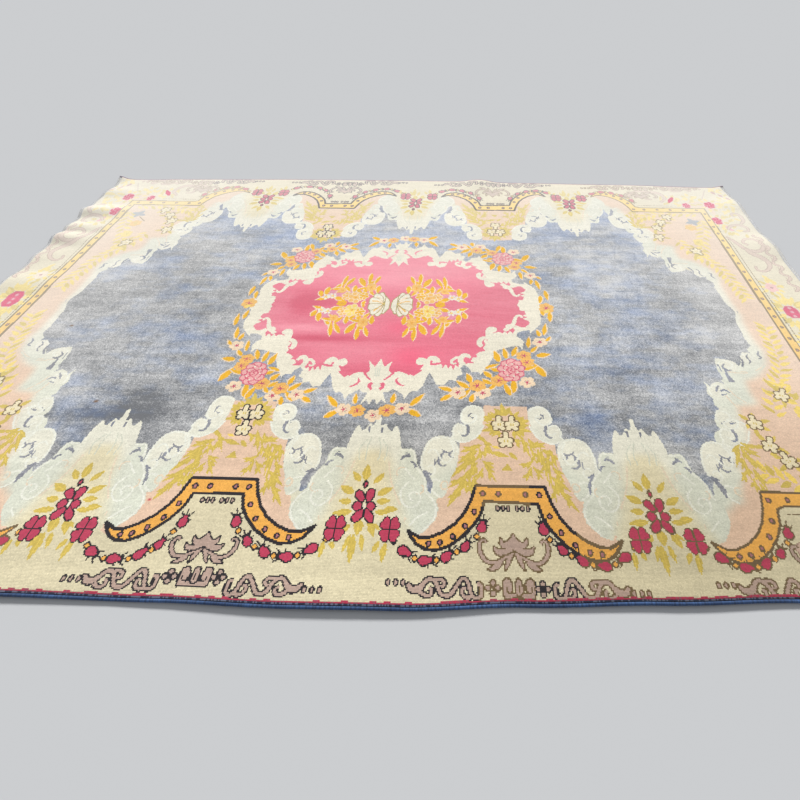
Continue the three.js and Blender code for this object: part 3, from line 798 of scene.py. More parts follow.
def ground(q):
    area(FRAME_IN, RED, at=q)
    # hooks and balls that stand into the red
    taper([(-445, -90), (-441, -79), (-431, -79), (-423, -94), (-418, -116), (-408, -136)], IVORY, [7, 10, 12, 14, 15, 18], 18, at=q)
    disc(-402, -134, 12, IVORY, at=q, ry=14)
    disc(-393, -148, 9, IVORY, at=q)
    disc(-352, -146, 13, IVORY, at=q, ry=14)
    taper([(-356, -136), (-342, -136), (-335, -152), (-336, -176), (-344, -196)], IVORY, [8, 12, 13, 14, 18], 18, at=q)
    taper([(-338, -190), (-326, -184), (-313, -194), (-310, -212), (-317, -226)], IVORY, [12, 15, 17, 18, 14], 14, at=q)
    taper([(-340, -216), (-330, -206), (-328, -194)], IVORY, [14, 12, 8], 8, at=q)
    taper([(-284, -276), (-276, -266), (-266, -262), (-258, -272), (-256, -290), (-264, -304)], IVORY, [8, 16, 18, 16, 16, 18], 18, at=q)
    taper([(-260, -276), (-246, -272), (-234, -280), (-229, -292), (-236, -299), (-243, -294)], IVORY, [10, 12, 12, 10, 8, 6], 6, at=q)
    disc(-181, -280, 14, IVORY, at=q, ry=13)
    taper([(-196, -290), (-186, -272), (-172, -268), (-163, -282), (-160, -300), (-158, -322)], IVORY, [8, 14, 17, 17, 20, 34], 34, at=q)
    disc(-172, -286, 4, RED, at=q, ry=5)
    disc(-141, -284, 13, IVORY, at=q, ry=15)
    taper([(-160, -300), (-152, -278), (-140, -270), (-131, -280)], IVORY, [18, 15, 11, 8], 8, at=q)
    # hooked lobe and crown of the palmette at the middle of the long side
    taper([(-124, -384), (-108, -352), (-92, -336), (-76, -334), (-66, -346), (-66, -366), (-76, -388)], IVORY, [34, 28, 20, 20, 20, 22, 26], 26, at=q)
    taper([(-84, -348), (-80, -358), (-84, -370), (-96, -380), (-104, -382)], RED, [3, 7, 8, 6, 3], 3, at=q)
    taper([(-70, -324), (-60, -340), (-46, -354), (-30, -352)], RED, [8, 6, 5, 4], 4, at=q)


def palmette_crown(q):
    half = [(-27, -262), (-34, -282), (-42, -299), (-50, -288), (-63, -273), (-57, -300), (-52, -334), (-42, -362), (-33, -370), (-40, -392), (-27, -395)]
    area(half + [(-54 - x, y) for x, y in half[::-1]], IVORY, at=q)
    for s in (1, -1):
        h = q.at(-27, 0, 0, s, 1)
        area([(10, -366), (20, -364), (26, -372), (24, -384), (14, -396), (9, -388), (15, -380)], RED, at=h)
    for x in (-12, -5, 3):
        line([(-27 + x, -306), (-27 + x * 0.6, -340)], GHOST, 3.0, at=q, over=(IVORY,))


for q in QUARTERS:
    frame(q)
for q in QUARTERS:
    ground(q)
for q in (QUARTERS[0], QUARTERS[2]):
    palmette_crown(q)
# wreath round the frame: gold leaves, amber and peach flowers, one rose in each quarter
WREATH_LEAVES = [  # x and y of the leaf's middle, turn, length, width
    (-533, -86, 4, 66, 14), (-511, -58, -6, 52, 14), (-510, -154, 10, 60, 14), (-489, -172, -10, 36, 13), (-517, -202, 35, 26, 11), (-456, -214, 6, 54, 13),
    (-470, -248, 38, 36, 13), (-495, -276, 82, 44, 20), (-412, -254, 18, 48, 15), (-384, -262, -8, 50, 16), (-359, -274, -14, 54, 19), (-478, -342, -26, 66, 22),
    (-452, -330, 72, 44, 14), (-344, -316, 66, 42, 14), (-352, -332, -60, 30, 15), (-331, -350, -38, 36, 17), (-328, -380, -48, 34, 14), (-402, -400, 4, 62, 18),
    (-384, -414, -16, 54, 16), (-345, -400, 40, 34, 12), (-288, -442, 10, 34, 15), (-270, -424, 38, 52, 14), (-279, -362, -18, 40, 16), (-262, -388, -46, 48, 17),
    (-216, -402, -66, 44, 15), (-222, -433, 56, 46, 16), (-142, -440, 38, 58, 17), (-134, -486, -52, 54, 18), (-78, -430, 4, 40, 13)]
for k, q in enumerate(QUARTERS):
    for x, y, turn, n, w in WREATH_LEAVES:
        a = np.radians(turn)
        wreath_leaf(q.at(x + 0.5 * n * np.sin(a), y - 0.5 * n * np.cos(a), turn), n, w)
    for x, y in ((-490, -216), (-440, -390), (-318, -424), (-250, -418), (-105, -470), (-20, -490)):
        if x == -20 and k in (1, 3):
            continue
        blossom(q.at(x, y, 20 + 13 * k))
    for x, y, r in ((-438, -276, 1.0), (-446, -306, 0.95), (-362, -378, 1.05), (-303, -395, 1.05), (-67, -474, 1.0)):
        garden_flower(q.at(x, y, 8 * k, r, r), ORANGE)
    rose(q.at(-399, -336))
for x in (-521, 508):
    garden_flower(Place(x, 3, 0, 1.15, 1.25), ORANGE)
    disc(x, -14, 9, LEMON)

# bouquets in the red ground, left and mirrored to the right
BOUQUET_LEAVES = [
    (-272, -16, 68, 50, 16), (-284, -46, -14, 38, 18), (-264, -60, 6, 58, 18), (-212, -18, -68, 46, 20), (-232, -76, 82, 44, 15), (-212, -122, 8, 84, 13), (-194, -78, -36, 44, 14),
    (-192, -120, 26, 62, 15), (-168, -76, 2, 48, 16), (-138, -82, 74, 44, 13), (-146, -120, -24, 64, 22), (-121, -144, 2, 72, 15), (-94, -134, 18, 58, 13), (-83, -76, 2, 48, 18),
    (-186, -42, 70, 30, 16), (-124, 6, 10, 30, 12)]
for side in (1, -1):
    m = Place() if side > 0 else Place(-58, 0, 0, -1.0, 1.0)
    for half in (1, -1):
        q = m if half > 0 else m.at(0, 20, 0, 1, -0.98)
        for x, y, r, h in ((-240, -52, 20, 14), (-182, -74, 36, 22), (-128, -52, 20, 34), (-206, -34, 26, 18)):
            disc(x, y, r, LILAC, at=q, ry=h, over=(RED,))
        for x, y, turn, n, w in ((-216, -62, 60, 36, 14), (-150, -64, -40, 34, 14), (-128, -60, -10, 40, 14), (-228, -94, 40, 42, 13), (-104, -54, -30, 34, 12), (-116, -116, 40, 34, 12)):
            a = np.radians(turn)
            wreath_leaf(q.at(x + 0.5 * n * np.sin(a), y - 0.5 * n * np.cos(a), turn), n, w)
        for x, y, turn, n, w in BOUQUET_LEAVES:
            a = np.radians(turn)
            wreath_leaf(q.at(x + 0.5 * n * np.sin(a), y - 0.5 * n * np.cos(a), turn), n, w)
        garden_flower(q.at(-110, -88, 0, 0.8, 1.25), ORANGE, HONEY)
        garden_flower(q.at(-212, -70, 0, 0.7, 0.8), ORANGE, HONEY)
        for x, y in ((-240, -34), (-262, -28)):                         # small white flowers
            for k in range(5):
                a = np.radians(72 * k + 20)
                disc(x + 10 * np.cos(a), y + 11 * np.sin(a), 5.6, WHITE, at=q)
            disc(x, y, 4.4, LEMON, at=q)
        for x, y, r, fill in ((-188, -34, 0.95, ORANGE), (-158, -26, 1.35, LEMON if half > 0 else ORANGE), (-130, -36, 0.9, GOLD)):
            for k in range(6):                                          # rosettes with pale lobes
                a = np.radians(60 * k + 15)
                disc(x + 13 * r * np.cos(a), y + 17 * r * np.sin(a), 7.6 * r, fill, at=q, ry=8.6 * r, edge=PEACH, width=2.9)
            disc(x, y, 8 * r, fill, at=q)
            disc(x, y, 3.4 * r, HONEY, at=q)
    garden_flower(m.at(-200, 12, 0, 0.8, 0.8), GOLD, HONEY)

# two cream shells side by side, each with a ruffled rim and ribs that fan from its hinge
for s, c in ((1, -74), (-1, 14)):
    q = Place(c, 6, 0, s, 1)
    rim = []
    for k in range(7):
        a0 = np.radians(62 + 39 * k)
        for f, r in ((0.0, 0.90), (0.25, 1.0), (0.5, 1.04), (0.75, 1.0)):
            a = a0 + np.radians(39) * f
            rim.append((3 + 36 * r * np.cos(a), 4 + 66 * r * np.sin(a)))
    rim += [(30, -40), (40, -20), (42, 4), (38, 28)]
    area(rim, IVORY, at=q, edge=TAN, width=3.0)
    for k in range(7):
        a = np.radians(62 + 39 * k)
        x, y = 3 + 33 * np.cos(a), 4 + 60 * np.sin(a)
        line([(22, 6), (0.45 * x + 14, 0.62 * y + 5), (x, y)], TAN, 2.9, at=q, over=(IVORY,), curve=True)
        if k in (1, 2, 4, 5):
            b = a + np.radians(19)
            x, y = 3 + 27 * np.cos(b), 4 + 48 * np.sin(b)
            taper([(18, 6), (0.5 * x + 8, 0.66 * y + 5), (x, y)], PEACH if k % 2 else ORANGE, [2, 5, 7], 7, at=q, over=(IVORY,))
    disc(20, 6, 4, OLIVE, at=q)


# ---- corners and short ends: one quarter is drawn (near left) and mirrored ----
CORNER_WHEAT = [  # a hanging cluster beside the ribbon: from x, y to x, y, and width
    (-56, -590, -84, -606, 14), (-54, -600, -88, -634, 15), (-48, -596, -22, -618, 13), (-50, -606, -64, -668, 15), (-42, -610, -18, -662, 14), (-56, -640, -86, -676, 14), (-40, -640, -40, -700, 14),
    (-58, -672, -66, -726, 14), (-36, -676, -14, -706, 12), (-56, -716, -64, -764, 16), (-46, -700, -40, -736, 11)]
END_LEAVES = [
    (-1440, -806, -1388, -792, 20), (-1392, -792, -1350, -742, 16), (-1420, -944, -1396, -900, 15), (-1396, -944, -1362, -908, 22), (-1438, -888, -1418, -862, 14), (-1306, -842, -1288, -818, 14),
    (-1294, -866, -1252, -828, 20), (-1244, -852, -1212, -822, 17), (-1262, -826, -1240, -796, 12), (-1192, -842, -1178, -798, 11), (-1128, -862, -1112, -818, 10), (-1132, -794, -1118, -772, 12),
    (-1384, -724, -1360, -690, 15), (-1390, -694, -1374, -666, 12), (-1352, -684, -1334, -652, 13), (-1378, -652, -1354, -618, 14), (-1328, -602, -1310, -558, 16), (-1394, -524, -1380, -478, 14),
    (-1348, -542, -1328, -508, 14), (-1322, -562, -1308, -528, 11), (-1420, -760, -1406, -700, 16)]

YELLOWS = (LEMON, OLIVE, LEMON)
for k, q in enumerate(CORNERS):
    ground = (BLUSH, MINT, OLIVE, LEMON)
    for pts, n, w in (([(-1240, -690), (-1150, -696), (-1050, -680), (-985, -650)], 13, 15), ([(-1238, -640), (-1222, -540), (-1180, -430), (-1150, -340)], 15, 14),
                      ([(-1160, -330), (-1196, -250), (-1210, -160), (-1222, -80)], 15, 13), ([(-1095, -470), (-1110, -400), (-1150, -330)], 7, 13)):
        sprig(q, pts, int(1.5 * n), 42, w + 1, (LEMON, OLIVE, LEMON), over=ground)
    wheat(q.at(-905, 30), 0, 1, CORNER_WHEAT)
    for x, y, t, n in ((-1024, -492, 0, 6), (-1034, -566, 20, 5), (-1062, -614, -15, 5), (-1142, -386, 30, 7), (-1100, -660, 10, 4)):
        halo(q, x, y, 16, 16, 32, 14, n, (OLIVE, STRAW), phase=40.0 + t, over=ground)
    for x, y, t in ((-1024, -492, 0), (-1034, -566, 20), (-1062, -614, -15), (-1142, -386, 30), (-1100, -660, 10)):
        cluster_flower(q.at(x, y, t), BROWN)
    for turn in (20, 110, 200, 290):                                    # grey-blue flower
        leaf(q.at(-1200, -620, turn), 34, 22, SKY)
    line([(-1190, -600), (-1150, -560)], BROWN, 3.0, at=q)
    garden_flower(q.at(-1178, -572 if k % 2 else -540, 0, 1.1, 1.1), ORANGE, OLIVE)
    garden_flower(q.at(-1172, -452, 0, 0.9, 1.2), LEMON, OLIVE)
    for y in (-320, -345):
        line([(-1130, y), (-1150, y - 50)], GHOST, 3.4, at=q, over=(BLUSH,))

    # corner flowers, buds and marks
    area([(-1298, -742), (-1232, -745), (-1224, -800), (-1262, -814), (-1298, -802), (-1332, -720), (-1318, -670)], BLUSH, at=q)
    for x, y, rx, ry, n in ((-1324, -776, 26, 34, 9), (-1218, -800, 26, 26, 7), (-1310, -634, 24, 34, 8), (-1160, -822, 18, 26, 6), (-1345, -556, 16, 22, 6), (-1404, -800, 16, 34, 8), (-1384, -680, 10, 30, 6),
                            (-1400, -930, 10, 14, 5), (-1250, -850, 10, 10, 5)):
        halo(q, x, y, rx, ry, 34, 17, n, YELLOWS, phase=25.0 * k + x, over=(CREAM, LEMON, OLIVE, BLUSH))
    for x0, y0, x1, y1, w in END_LEAVES:
        stroke_leaf(q, x0, y0, x1, y1, w, LEMON if w > 14 else OLIVE)
    for x, y, w, h in ((-1324, -776, 23, 31), (-1218, -770, 17, 25), (-1310, -634, 21, 32)):
        for turn in range(0, 360, 60):
            a = np.radians(turn + 15)
            disc(x + w * 0.55 * np.cos(a), y + h * 0.55 * np.sin(a), w * 0.52, PINK2, at=q, ry=h * 0.46, edge=LILAC, width=3.0)
        disc(x, y, w * 0.45, PINK2, at=q, ry=h * 0.45)
        disc(x, y, 4, CHERRY, at=q)
    for x, y, t in ((-1376, -898, 20), (-1400, -868, 24), (-1420, -836, 28)):
        leaf(q.at(x, y - 18, t), 38, 15, STONE)
    taper([(-1178, -850), (-1160, -820), (-1146, -796)], PINK2, [8, 24, 8], 8, at=q)
    taper([(-1352, -552), (-1342, -562), (-1332, -590)], LILAC, [10, 18, 8], 8, at=q)
    line([(-1350, -924), (-1330, -880), (-1308, -832)], MAUVE, 4.0, at=q, curve=True)
    # running scrolls of the long sides and the short end
    scroll(q.at(-1236, -932, 8, -1, 1), TAUPE, MIST)
    for x in (-1312, -1330):
        ring(q.at(x, -938), TAUPE, MIST)
    taper([(-1112, -800), (-1140, -840), (-1122, -888), (-1078, -900), (-1046, -868), (-1052, -832), (-1078, -826)], MIST, [10, 14, 18, 22, 20, 12, 6], 6, at=q, edge=TAUPE, width=3.0)
    taper([(-1078, -900), (-1030, -906), (-990, -880), (-978, -850), (-992, -836)], MIST, [16, 18, 16, 12, 8], 8, at=q, edge=TAUPE, width=3.0)
    taper([(-1076, -898), (-1052, -902)], MIST, [14, 14], 14, at=q, curve=False)
    # the short end's own scrolls: a wide curl, its stem and a running chain near the woven end
    taper([(-1300, -500), (-1316, -470), (-1326, -440), (-1340, -405), (-1368, -385), (-1400, -392), (-1418, -424), (-1412, -462), (-1388, -482), (-1362, -474), (-1350, -450), (-1362, -430)],
          MIST, [8, 13, 15, 17, 18, 18, 17, 16, 14, 12, 10, 8], 8, at=q, edge=TAUPE, width=3.0)
    taper([(-1340, -405), (-1354, -372), (-1378, -348), (-1394, -320), (-1392, -290), (-1374, -262), (-1350, -250), (-1332, -262), (-1336, -284)],
          MIST, [12, 20, 24, 22, 17, 14, 12, 10, 8], 8, at=q, edge=TAUPE, width=3.0)
    taper([(-1330, -560), (-1352, -590), (-1388, -600), (-1414, -580), (-1412, -552), (-1390, -546)], MIST, [8, 14, 16, 15, 12, 8], 8, at=q, edge=TAUPE, width=3.0)
    taper([(-1404, -610), (-1424, -640), (-1426, -680), (-1410, -704), (-1392, -692), (-1398, -672)], MIST, [10, 15, 16, 13, 11, 8], 8, at=q, edge=TAUPE, width=3.0)
    for n in range(6):
        y = -150 - 66 * n
        taper([(-1414, y + 26), (-1430, y + 14), (-1432, y - 4), (-1420, y - 12), (-1412, y - 26), (-1420, y - 38)], MIST, [6, 12, 13, 10, 11, 6], 6, at=q, edge=TAUPE, width=3.0)
        line([(-1420, y + 16), (-1416, y + 2)], TAUPE, 3.0, at=q)
    halo(q, -1350, 4, 30, 46, 44, 19, 12, YELLOWS, phase=12.0, over=(CREAM, LEMON, OLIVE))
    halo(q, -1338, -146, 20, 24, 32, 15, 9, YELLOWS, phase=30.0, over=(CREAM, LEMON, OLIVE))
    for x0, y0, x1, y1, w in ((-1368, -50, -1384, -92, 17), (-1350, -56, -1356, -104, 17), (-1330, -44, -1308, -80, 16), (-1378, -34, -1402, -62, 14), (-1316, -24, -1302, -40, 12), (-1380, -12, -1400, -22, 12),
                              (-1340, -84, -1326, -108, 13), (-1362, -176, -1336, -208, 20), (-1350, -196, -1332, -226, 14), (-1316, -176, -1304, -190, 12), (-1382, -146, -1366, -164, 14)):
        stroke_leaf(q, x0, y0, x1, y1, w, LEMON if w > 13 else OLIVE)
    for turn in range(0, 360, 72):
        a = np.radians(turn)
        disc(-1338 + 13 * np.cos(a), -146 + 17 * np.sin(a), 10, HUSH if k % 2 == 0 else ROSE, at=q, ry=12)
    disc(-1338, -146, 6, STONE, at=q)

for x, w, h in ((-1350, 27, 42), (1348, 24, 31)):
    area([(x - w, 4 - h * 0.5), (x - w * 0.5, 4 - h), (x + w * 0.6, 4 - h), (x + w, 4 - h * 0.4), (x + w * 0.9, 4 + h * 0.5), (x + w * 0.5, 4 + h), (x - w * 0.5, 4 + h), (x - w, 4 + h * 0.5)], PINK2, edge=CHERRY, width=3.0)
    for dy in (-18, 4, 26):
        disc(x, dy, 6, LILAC, ry=7, edge=CHERRY, width=2.6)

# ribbons and garlands
arch(NEAR, -437, -275, -700, (-587, -822), (-107, -820))
arch(NEAR, 262, 430, -705, (108, -827), (590, -840))
arch(FAR, -430, -273, -700, (-574, -815), (-100, -824))
arch(FAR, 269, 439, -700, (111, -822), (587, -840))
for side, ends in ((NEAR, (-437, -275, 262, 430)), (FAR, (-430, -273, 269, 439))):
    for k, x0 in enumerate(ends):
        garland(side, x0, (-1, 1)[k % 2], BLACK, PINK, (1.0, 1.09, 1.0, 1.0)[k], (0, 6, 5, 2)[k], GARLAND if k == 0 else GARLAND_WIDE)
for q, bend, tip in zip(CORNERS, BENDS, TIPS):
    kx, ky = abs(tip[0] - bend[0]) / 160.0, (bend[1] - tip[1]) / 121.0
    arm = lambda pts: [(bend[0] + p[0] * kx, bend[1] + p[1] * ky) for p in pts]
    outline = arm(ARM_OUTER) + arm(ARM_INNER) + [(bend[0] - 40, bend[1] - 38), (-1291, bend[1] - 38), (-1291, 8), (-1263, 8), (-1263, bend[1])]
    p = area(outline, AMBER, at=q)
    line(outline[:-4] + [(-1291, bend[1] - 38)], BROWN, 6.0, at=q)
    line([(-1291, bend[1] - 38), (-1291, 8)], BROWN, 5.4, at=q)
    line([(-1263, 8), (-1263, bend[1]), outline[0]], BROWN, 5.4, at=q)
    line([outline[-2], outline[-1]], BROWN, 7.0, at=q)
    line([outline[-1], outline[0]], BROWN, 7.0, at=q)
    for x, y in arm(ARM_DOTS) + [(bend[0] - 10, -728)]:
        dot(q.at(x, y), BROWN)
    for k in range(5):
        dot(q.at(bend[0] - 56 - 58 * k, -727), BROWN, STONE, 5.0)
    for k in range(13):
        dot(q.at(-1277, -694 + 56 * k), BROWN, STONE, 4.4)
    for k in range(36):                                                  # dashed marks outside the ribbon
        if k < 14:
            line([(bend[0] - 40 - 11 * k, -764), (bend[0] - 46 - 11 * k, -764)], BROWN, 3.4, at=q)
        line([(-1303, -480 + 13.6 * k), (-1303, -472 + 13.6 * k)], BROWN, 3.4, at=q)
    garland(q, bend[0] - 6, 1, BROWN, dy=6)

# border motifs
for side, xs in ((NEAR, ((-697, -778, -747, -628, -841), (1, -767, -60, 66, -824), (690, -777, 631, 755, -836))),
                 (FAR, ((-685, -777, -749, -625, -842), (-2, -759, -55, 68, -823), (694, -770, 638, 753, -827)))):
    for x, y, c0, c1, cy in xs:
        spray(side.at(x, y))
        clover(side.at(c0, cy))
        clover(side.at(c1, cy))
for side in (NEAR, FAR):
    palmette(side.at(-342, -868), BLACK)
    palmette(side.at(346, -860, 0, 1.06, 1.2), BROWN)
    palmette(side.at(1034, -856), BROWN)
    palmette(side.at(-1014, -860), BROWN)
    meander_unit(side, -334, BLACK)
    meander_unit(side, 352, BLACK, BLACK, 8, 17)
    meander_unit(side, 1048, BROWN, BROWN, 18, 12)
    meander_unit(side, -1026, BROWN, BLACK, 6)

# outlines that the weaver tied in brown instead of black
for x0, y0, x1, y1 in ((262, -760, 392, -690), (490, -1000, 1500, -700), (266, -1000, 385, -820), (750, -1000, 1500, -700), (-1500, -1000, -790, -700)):
    zone = (KX > x0) & (KX < x1) & (KY > y0) & (KY < y1)
    ART[zone & (ART == BLACK)] = BROWN
# rows of the long edges
ART[0] = NAVY
ART[1] = ROW
ART[2][np.repeat(np.random.default_rng(4).random(KNOTS_X // 5), 5) > 0.6] = ROW
ART[-1] = ROW
# ---- from the rug's plane, where all positions are measured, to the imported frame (mm) ----
CAD_SHIFT = np.array([-8.0938, 2.5421])
SUB = 3                                        # knots along each side of a top face


def linear(c):
    c = np.clip(np.asarray(c, float), 0, 1)
    return np.where(c <= 0.04045, c / 12.92, ((c + 0.055) / 1.055) ** 2.4)


def grid_lines():
    """Mesh lines over the top in flat mm, and which of them the coarser underside shares."""
    ends = [HALF_LENGTH, HALF_LENGTH - 4.5, HALF_LENGTH - 9.0]
    cells = -PILE_HALF + np.arange(0, KNOTS_X + 1, SUB) * PITCH_X
    slope = [PILE_HALF - 1.2, PILE_HALF - 3.6]
    us = sorted([-e for e in ends] + ends + list(cells) + slope + [-s for s in slope])
    rows = -HALF_WIDTH + np.arange(0, KNOTS_Y + 1, SUB) * PITCH_Y
    lip = [HALF_WIDTH - 1.4]
    vs = sorted(list(rows) + lip + [-s for s in lip])
    us, vs = np.array(us), np.array(vs)
    cu = [0] + [int(np.argmin(abs(us - u))) for u in -PILE_HALF + np.arange(0, KNOTS_X + 1, 2 * SUB) * PITCH_X] + [len(us) - 1]
    cv = [int(np.argmin(abs(vs - v))) for v in -HALF_WIDTH + np.arange(0, KNOTS_Y + 1, 2 * SUB) * PITCH_Y]
    return us, vs, cu, cv


def top_height(u, v, rise):
    """Pile height over the underside: full in the middle, rounded off at the woven ends and side edges."""
    d = PILE_HALF - np.abs(u)                                  # how far inside the knotted part
    h = np.where(d <= 0, END_THICKNESS, END_THICKNESS + (PILE_THICKNESS - END_THICKNESS) * np.clip(d / 4.2, 0, 1) ** 0.5)
    side = HALF_WIDTH - np.abs(v)
    h = np.where(d > 0, h - 1.1 * (1 - np.clip(side / 2.5, 0, 1)) ** 2, h)
    return h + np.where(d > 1, rise, 0)


def build_rug(colours, rise):
    us, vs, cu, cv = grid_lines()
    NU, NV = len(us), len(vs)
    U, V = np.meshgrid(us, vs, indexing="ij")
    x, y = plan(U, V)
    low = lift(x, y)
    z = low + top_height(U, V, rise(U, V))
    top = np.stack([x, y, z], -1).reshape(-1, 3)
    T = np.arange(NU * NV).reshape(NU, NV)
    bottom_id = -np.ones((NU, NV), int)
    keep = np.zeros((NU, NV), bool)
    keep[0, :] = keep[-1, :] = keep[:, 0] = keep[:, -1] = True
    keep[np.ix_(cu, cv)] = True
    bottom_id[keep] = NU * NV + np.arange(keep.sum())
    co = np.vstack([top, np.stack([x[keep], y[keep], low[keep]], -1)])
    flat = np.vstack([np.stack([U, V, z - low], -1).reshape(-1, 3), np.stack([U[keep], V[keep], 0 * U[keep]], -1)])
    # top quads
    a, b, c, d = T[:-1, :-1], T[1:, :-1], T[1:, 1:], T[:-1, 1:]
    quads = np.stack([a, b, c, d], -1).reshape(-1, 4)
    um, vm = (us[:-1] + us[1:]) / 2, (vs[:-1] + vs[1:]) / 2
    ku = np.clip(((um + PILE_HALF) / PITCH_X).astype(int) // SUB * SUB, 0, KNOTS_X - SUB)
    kv = np.clip(((vm + HALF_WIDTH) / PITCH_Y).astype(int) // SUB * SUB, 0, KNOTS_Y - SUB)
    in_pile = np.abs(um) < PILE_HALF
    top_mat = np.where(np.repeat(in_pile[:, None], NV - 1, 1), 0, 1).reshape(-1)
    J, I = np.meshgrid(kv, ku)                                  # index order matches [i, j]
    sub = [colours[J + dj, I + di].reshape(-1, 3) for dj in range(SUB) for di in range(SUB)]
    faces = [list(q) for q in quads.tolist()]
    mats = list(top_mat)
    cols = [list(s) for s in sub]
    # side walls
    def wall(p, q, mat):
        for k in range(len(p) - 1):
            faces.append([p[k], q[k], q[k + 1], p[k + 1]])
            mats.append(mat)
    wall(T[:, 0][::-1], bottom_id[:, 0][::-1], 3)
    wall(T[:, -1], bottom_id[:, -1], 3)
    wall(T[0, :], bottom_id[0, :], 1)
    wall(T[-1, :][::-1], bottom_id[-1, :][::-1], 1)
    n_wall = len(faces) - len(quads)
    # underside: one face for every two top faces each way
    back = []
    for n in range(len(cu) - 1):
        i0, i1 = cu[n], cu[n + 1]
        for m in range(len(cv) - 1):
            j0, j1 = cv[m], cv[m + 1]
            loop = []
            loop += [bottom_id[i, j0] for i in (range(i0, i1) if j0 == 0 else (i0,))]
            loop += [bottom_id[i1, j] for j in (range(j0, j1) if i1 == NU - 1 else (j0,))]
            loop += [bottom_id[i, j1] for i in (range(i1, i0, -1) if j1 == NV - 1 else (i1,))]
            loop += [bottom_id[i0, j] for j in (range(j1, j0, -1) if i0 == 0 else (j1,))]
            faces.append(loop[::-1])
            end = n == 0 or n == len(cu) - 2
            mats.append(1 if end else 2)
            back.append((min(max(n - 1, 0) * 2 * SUB, KNOTS_X - 2 * SUB), min(m * 2 * SUB, KNOTS_Y - 2 * SUB)))
    back = np.array(back)
    for k, (dj, di) in enumerate((dj, di) for dj in range(SUB) for di in range(SUB)):
        wallc = np.tile(np.array([[0.3, 0.3, 0.34]]), (n_wall, 1))
        backc = colours[back[:, 1] + 2 * dj + 1, back[:, 0] + 2 * di + 1]
        cols[k] = np.vstack([np.array(cols[k]), wallc, backc])
    co = (co + np.r_[CAD_SHIFT, 0]) / 1000
    me = bpy.data.meshes.new("rug_pile")
    me.from_pydata(co.tolist(), [], faces)
    me.polygons.foreach_set("material_index", np.array(mats, np.int32))
    at = me.attributes.new("flat", "FLOAT_VECTOR", "POINT")
    at.data.foreach_set("vector", (flat / 1000).astype(np.float32).ravel())
    for k, name in enumerate("yarn_%d%d" % (di, dj) for dj in range(SUB) for di in range(SUB)):
        at = me.attributes.new(name, "FLOAT_VECTOR", "FACE")
        at.data.foreach_set("vector", linear(cols[k]).astype(np.float32).ravel())
    smooth = np.zeros(len(faces), bool)
    smooth[:] = True
    me.polygons.foreach_set("use_smooth", smooth)
    me.validate(verbose=False)
    me.update()
    ob = bpy.data.objects.new("rug_pile", me)
    bpy.context.scene.collection.objects.link(ob)
    tris = sum(len(f) - 2 for f in faces)
    print("rug_pile", len(co), "vertices", tris, "triangles")
    return ob


# ---- materials ----
class Nodes:
    """Short names for adding nodes to a material."""

    def __init__(self, name):
        self.mat = bpy.data.materials.new(name)
        self.mat.use_nodes = True
        self.tree = self.mat.node_tree
        self.tree.nodes.clear()
        self.out = self.tree.nodes.new("ShaderNodeOutputMaterial")
        self.shader = self.tree.nodes.new("ShaderNodeBsdfPrincipled")
        self.tree.links.new(self.shader.outputs[0], self.out.inputs[0])

    def new(self, kind, **settings):
        n = self.tree.nodes.new(kind)
        for k, v in settings.items():
            setattr(n, k, v)
        return n

    def link(self, a, b):
        self.tree.links.new(a, b)

    def feed(self, socket, value):
        if hasattr(value, "is_output"):
            self.link(value, socket)
        elif value is not None:
            socket.default_value = value

    def math(self, op, a, b=None, c=None, clamp=False):
        n = self.new("ShaderNodeMath", operation=op, use_clamp=clamp)
        for s, v in zip(n.inputs, (a, b, c)):
            self.feed(s, v)
        return n.outputs[0]

    def mix(self, factor, a, b, blend="MIX"):
        n = self.new("ShaderNodeMix", data_type="RGBA", blend_type=blend)
        self.feed(n.inputs[0], factor)
        self.feed(n.inputs[6], a)
        self.feed(n.inputs[7], b)
        return n.outputs[2]

    def noise(self, vector, scale, detail=2.0, rough=0.5, dims="3D"):
        n = self.new("ShaderNodeTexNoise", noise_dimensions=dims)
        self.feed(n.inputs["Vector"], vector)
        n.inputs["Scale"].default_value = scale
        n.inputs["Detail"].default_value = detail
        n.inputs["Roughness"].default_value = rough
        return n.outputs[0]

    def scaled(self, vector, x, y, z=1.0):
        n = self.new("ShaderNodeVectorMath", operation="MULTIPLY")
        self.link(vector, n.inputs[0])
        n.inputs[1].default_value = (x, y, z)
        return n.outputs[0]

    def attribute(self, name, out="Vector"):
        return self.new("ShaderNodeAttribute", attribute_name=name).outputs[out]

    def range(self, value, a, b, c, d):
        n = self.new("ShaderNodeMapRange")
        self.feed(n.inputs[0], value)
        for s, v in zip(n.inputs[1:5], (a, b, c, d)):
            s.default_value = v
        return n.outputs[0]

    def bump(self, height, distance, strength=1.0, under=None):
        n = self.new("ShaderNodeBump")
        n.inputs["Strength"].default_value = strength
        n.inputs["Distance"].default_value = distance
        self.link(height, n.inputs["Height"])
        if under is not None:
            self.link(under, n.inputs["Normal"])
        return n.outputs[0]


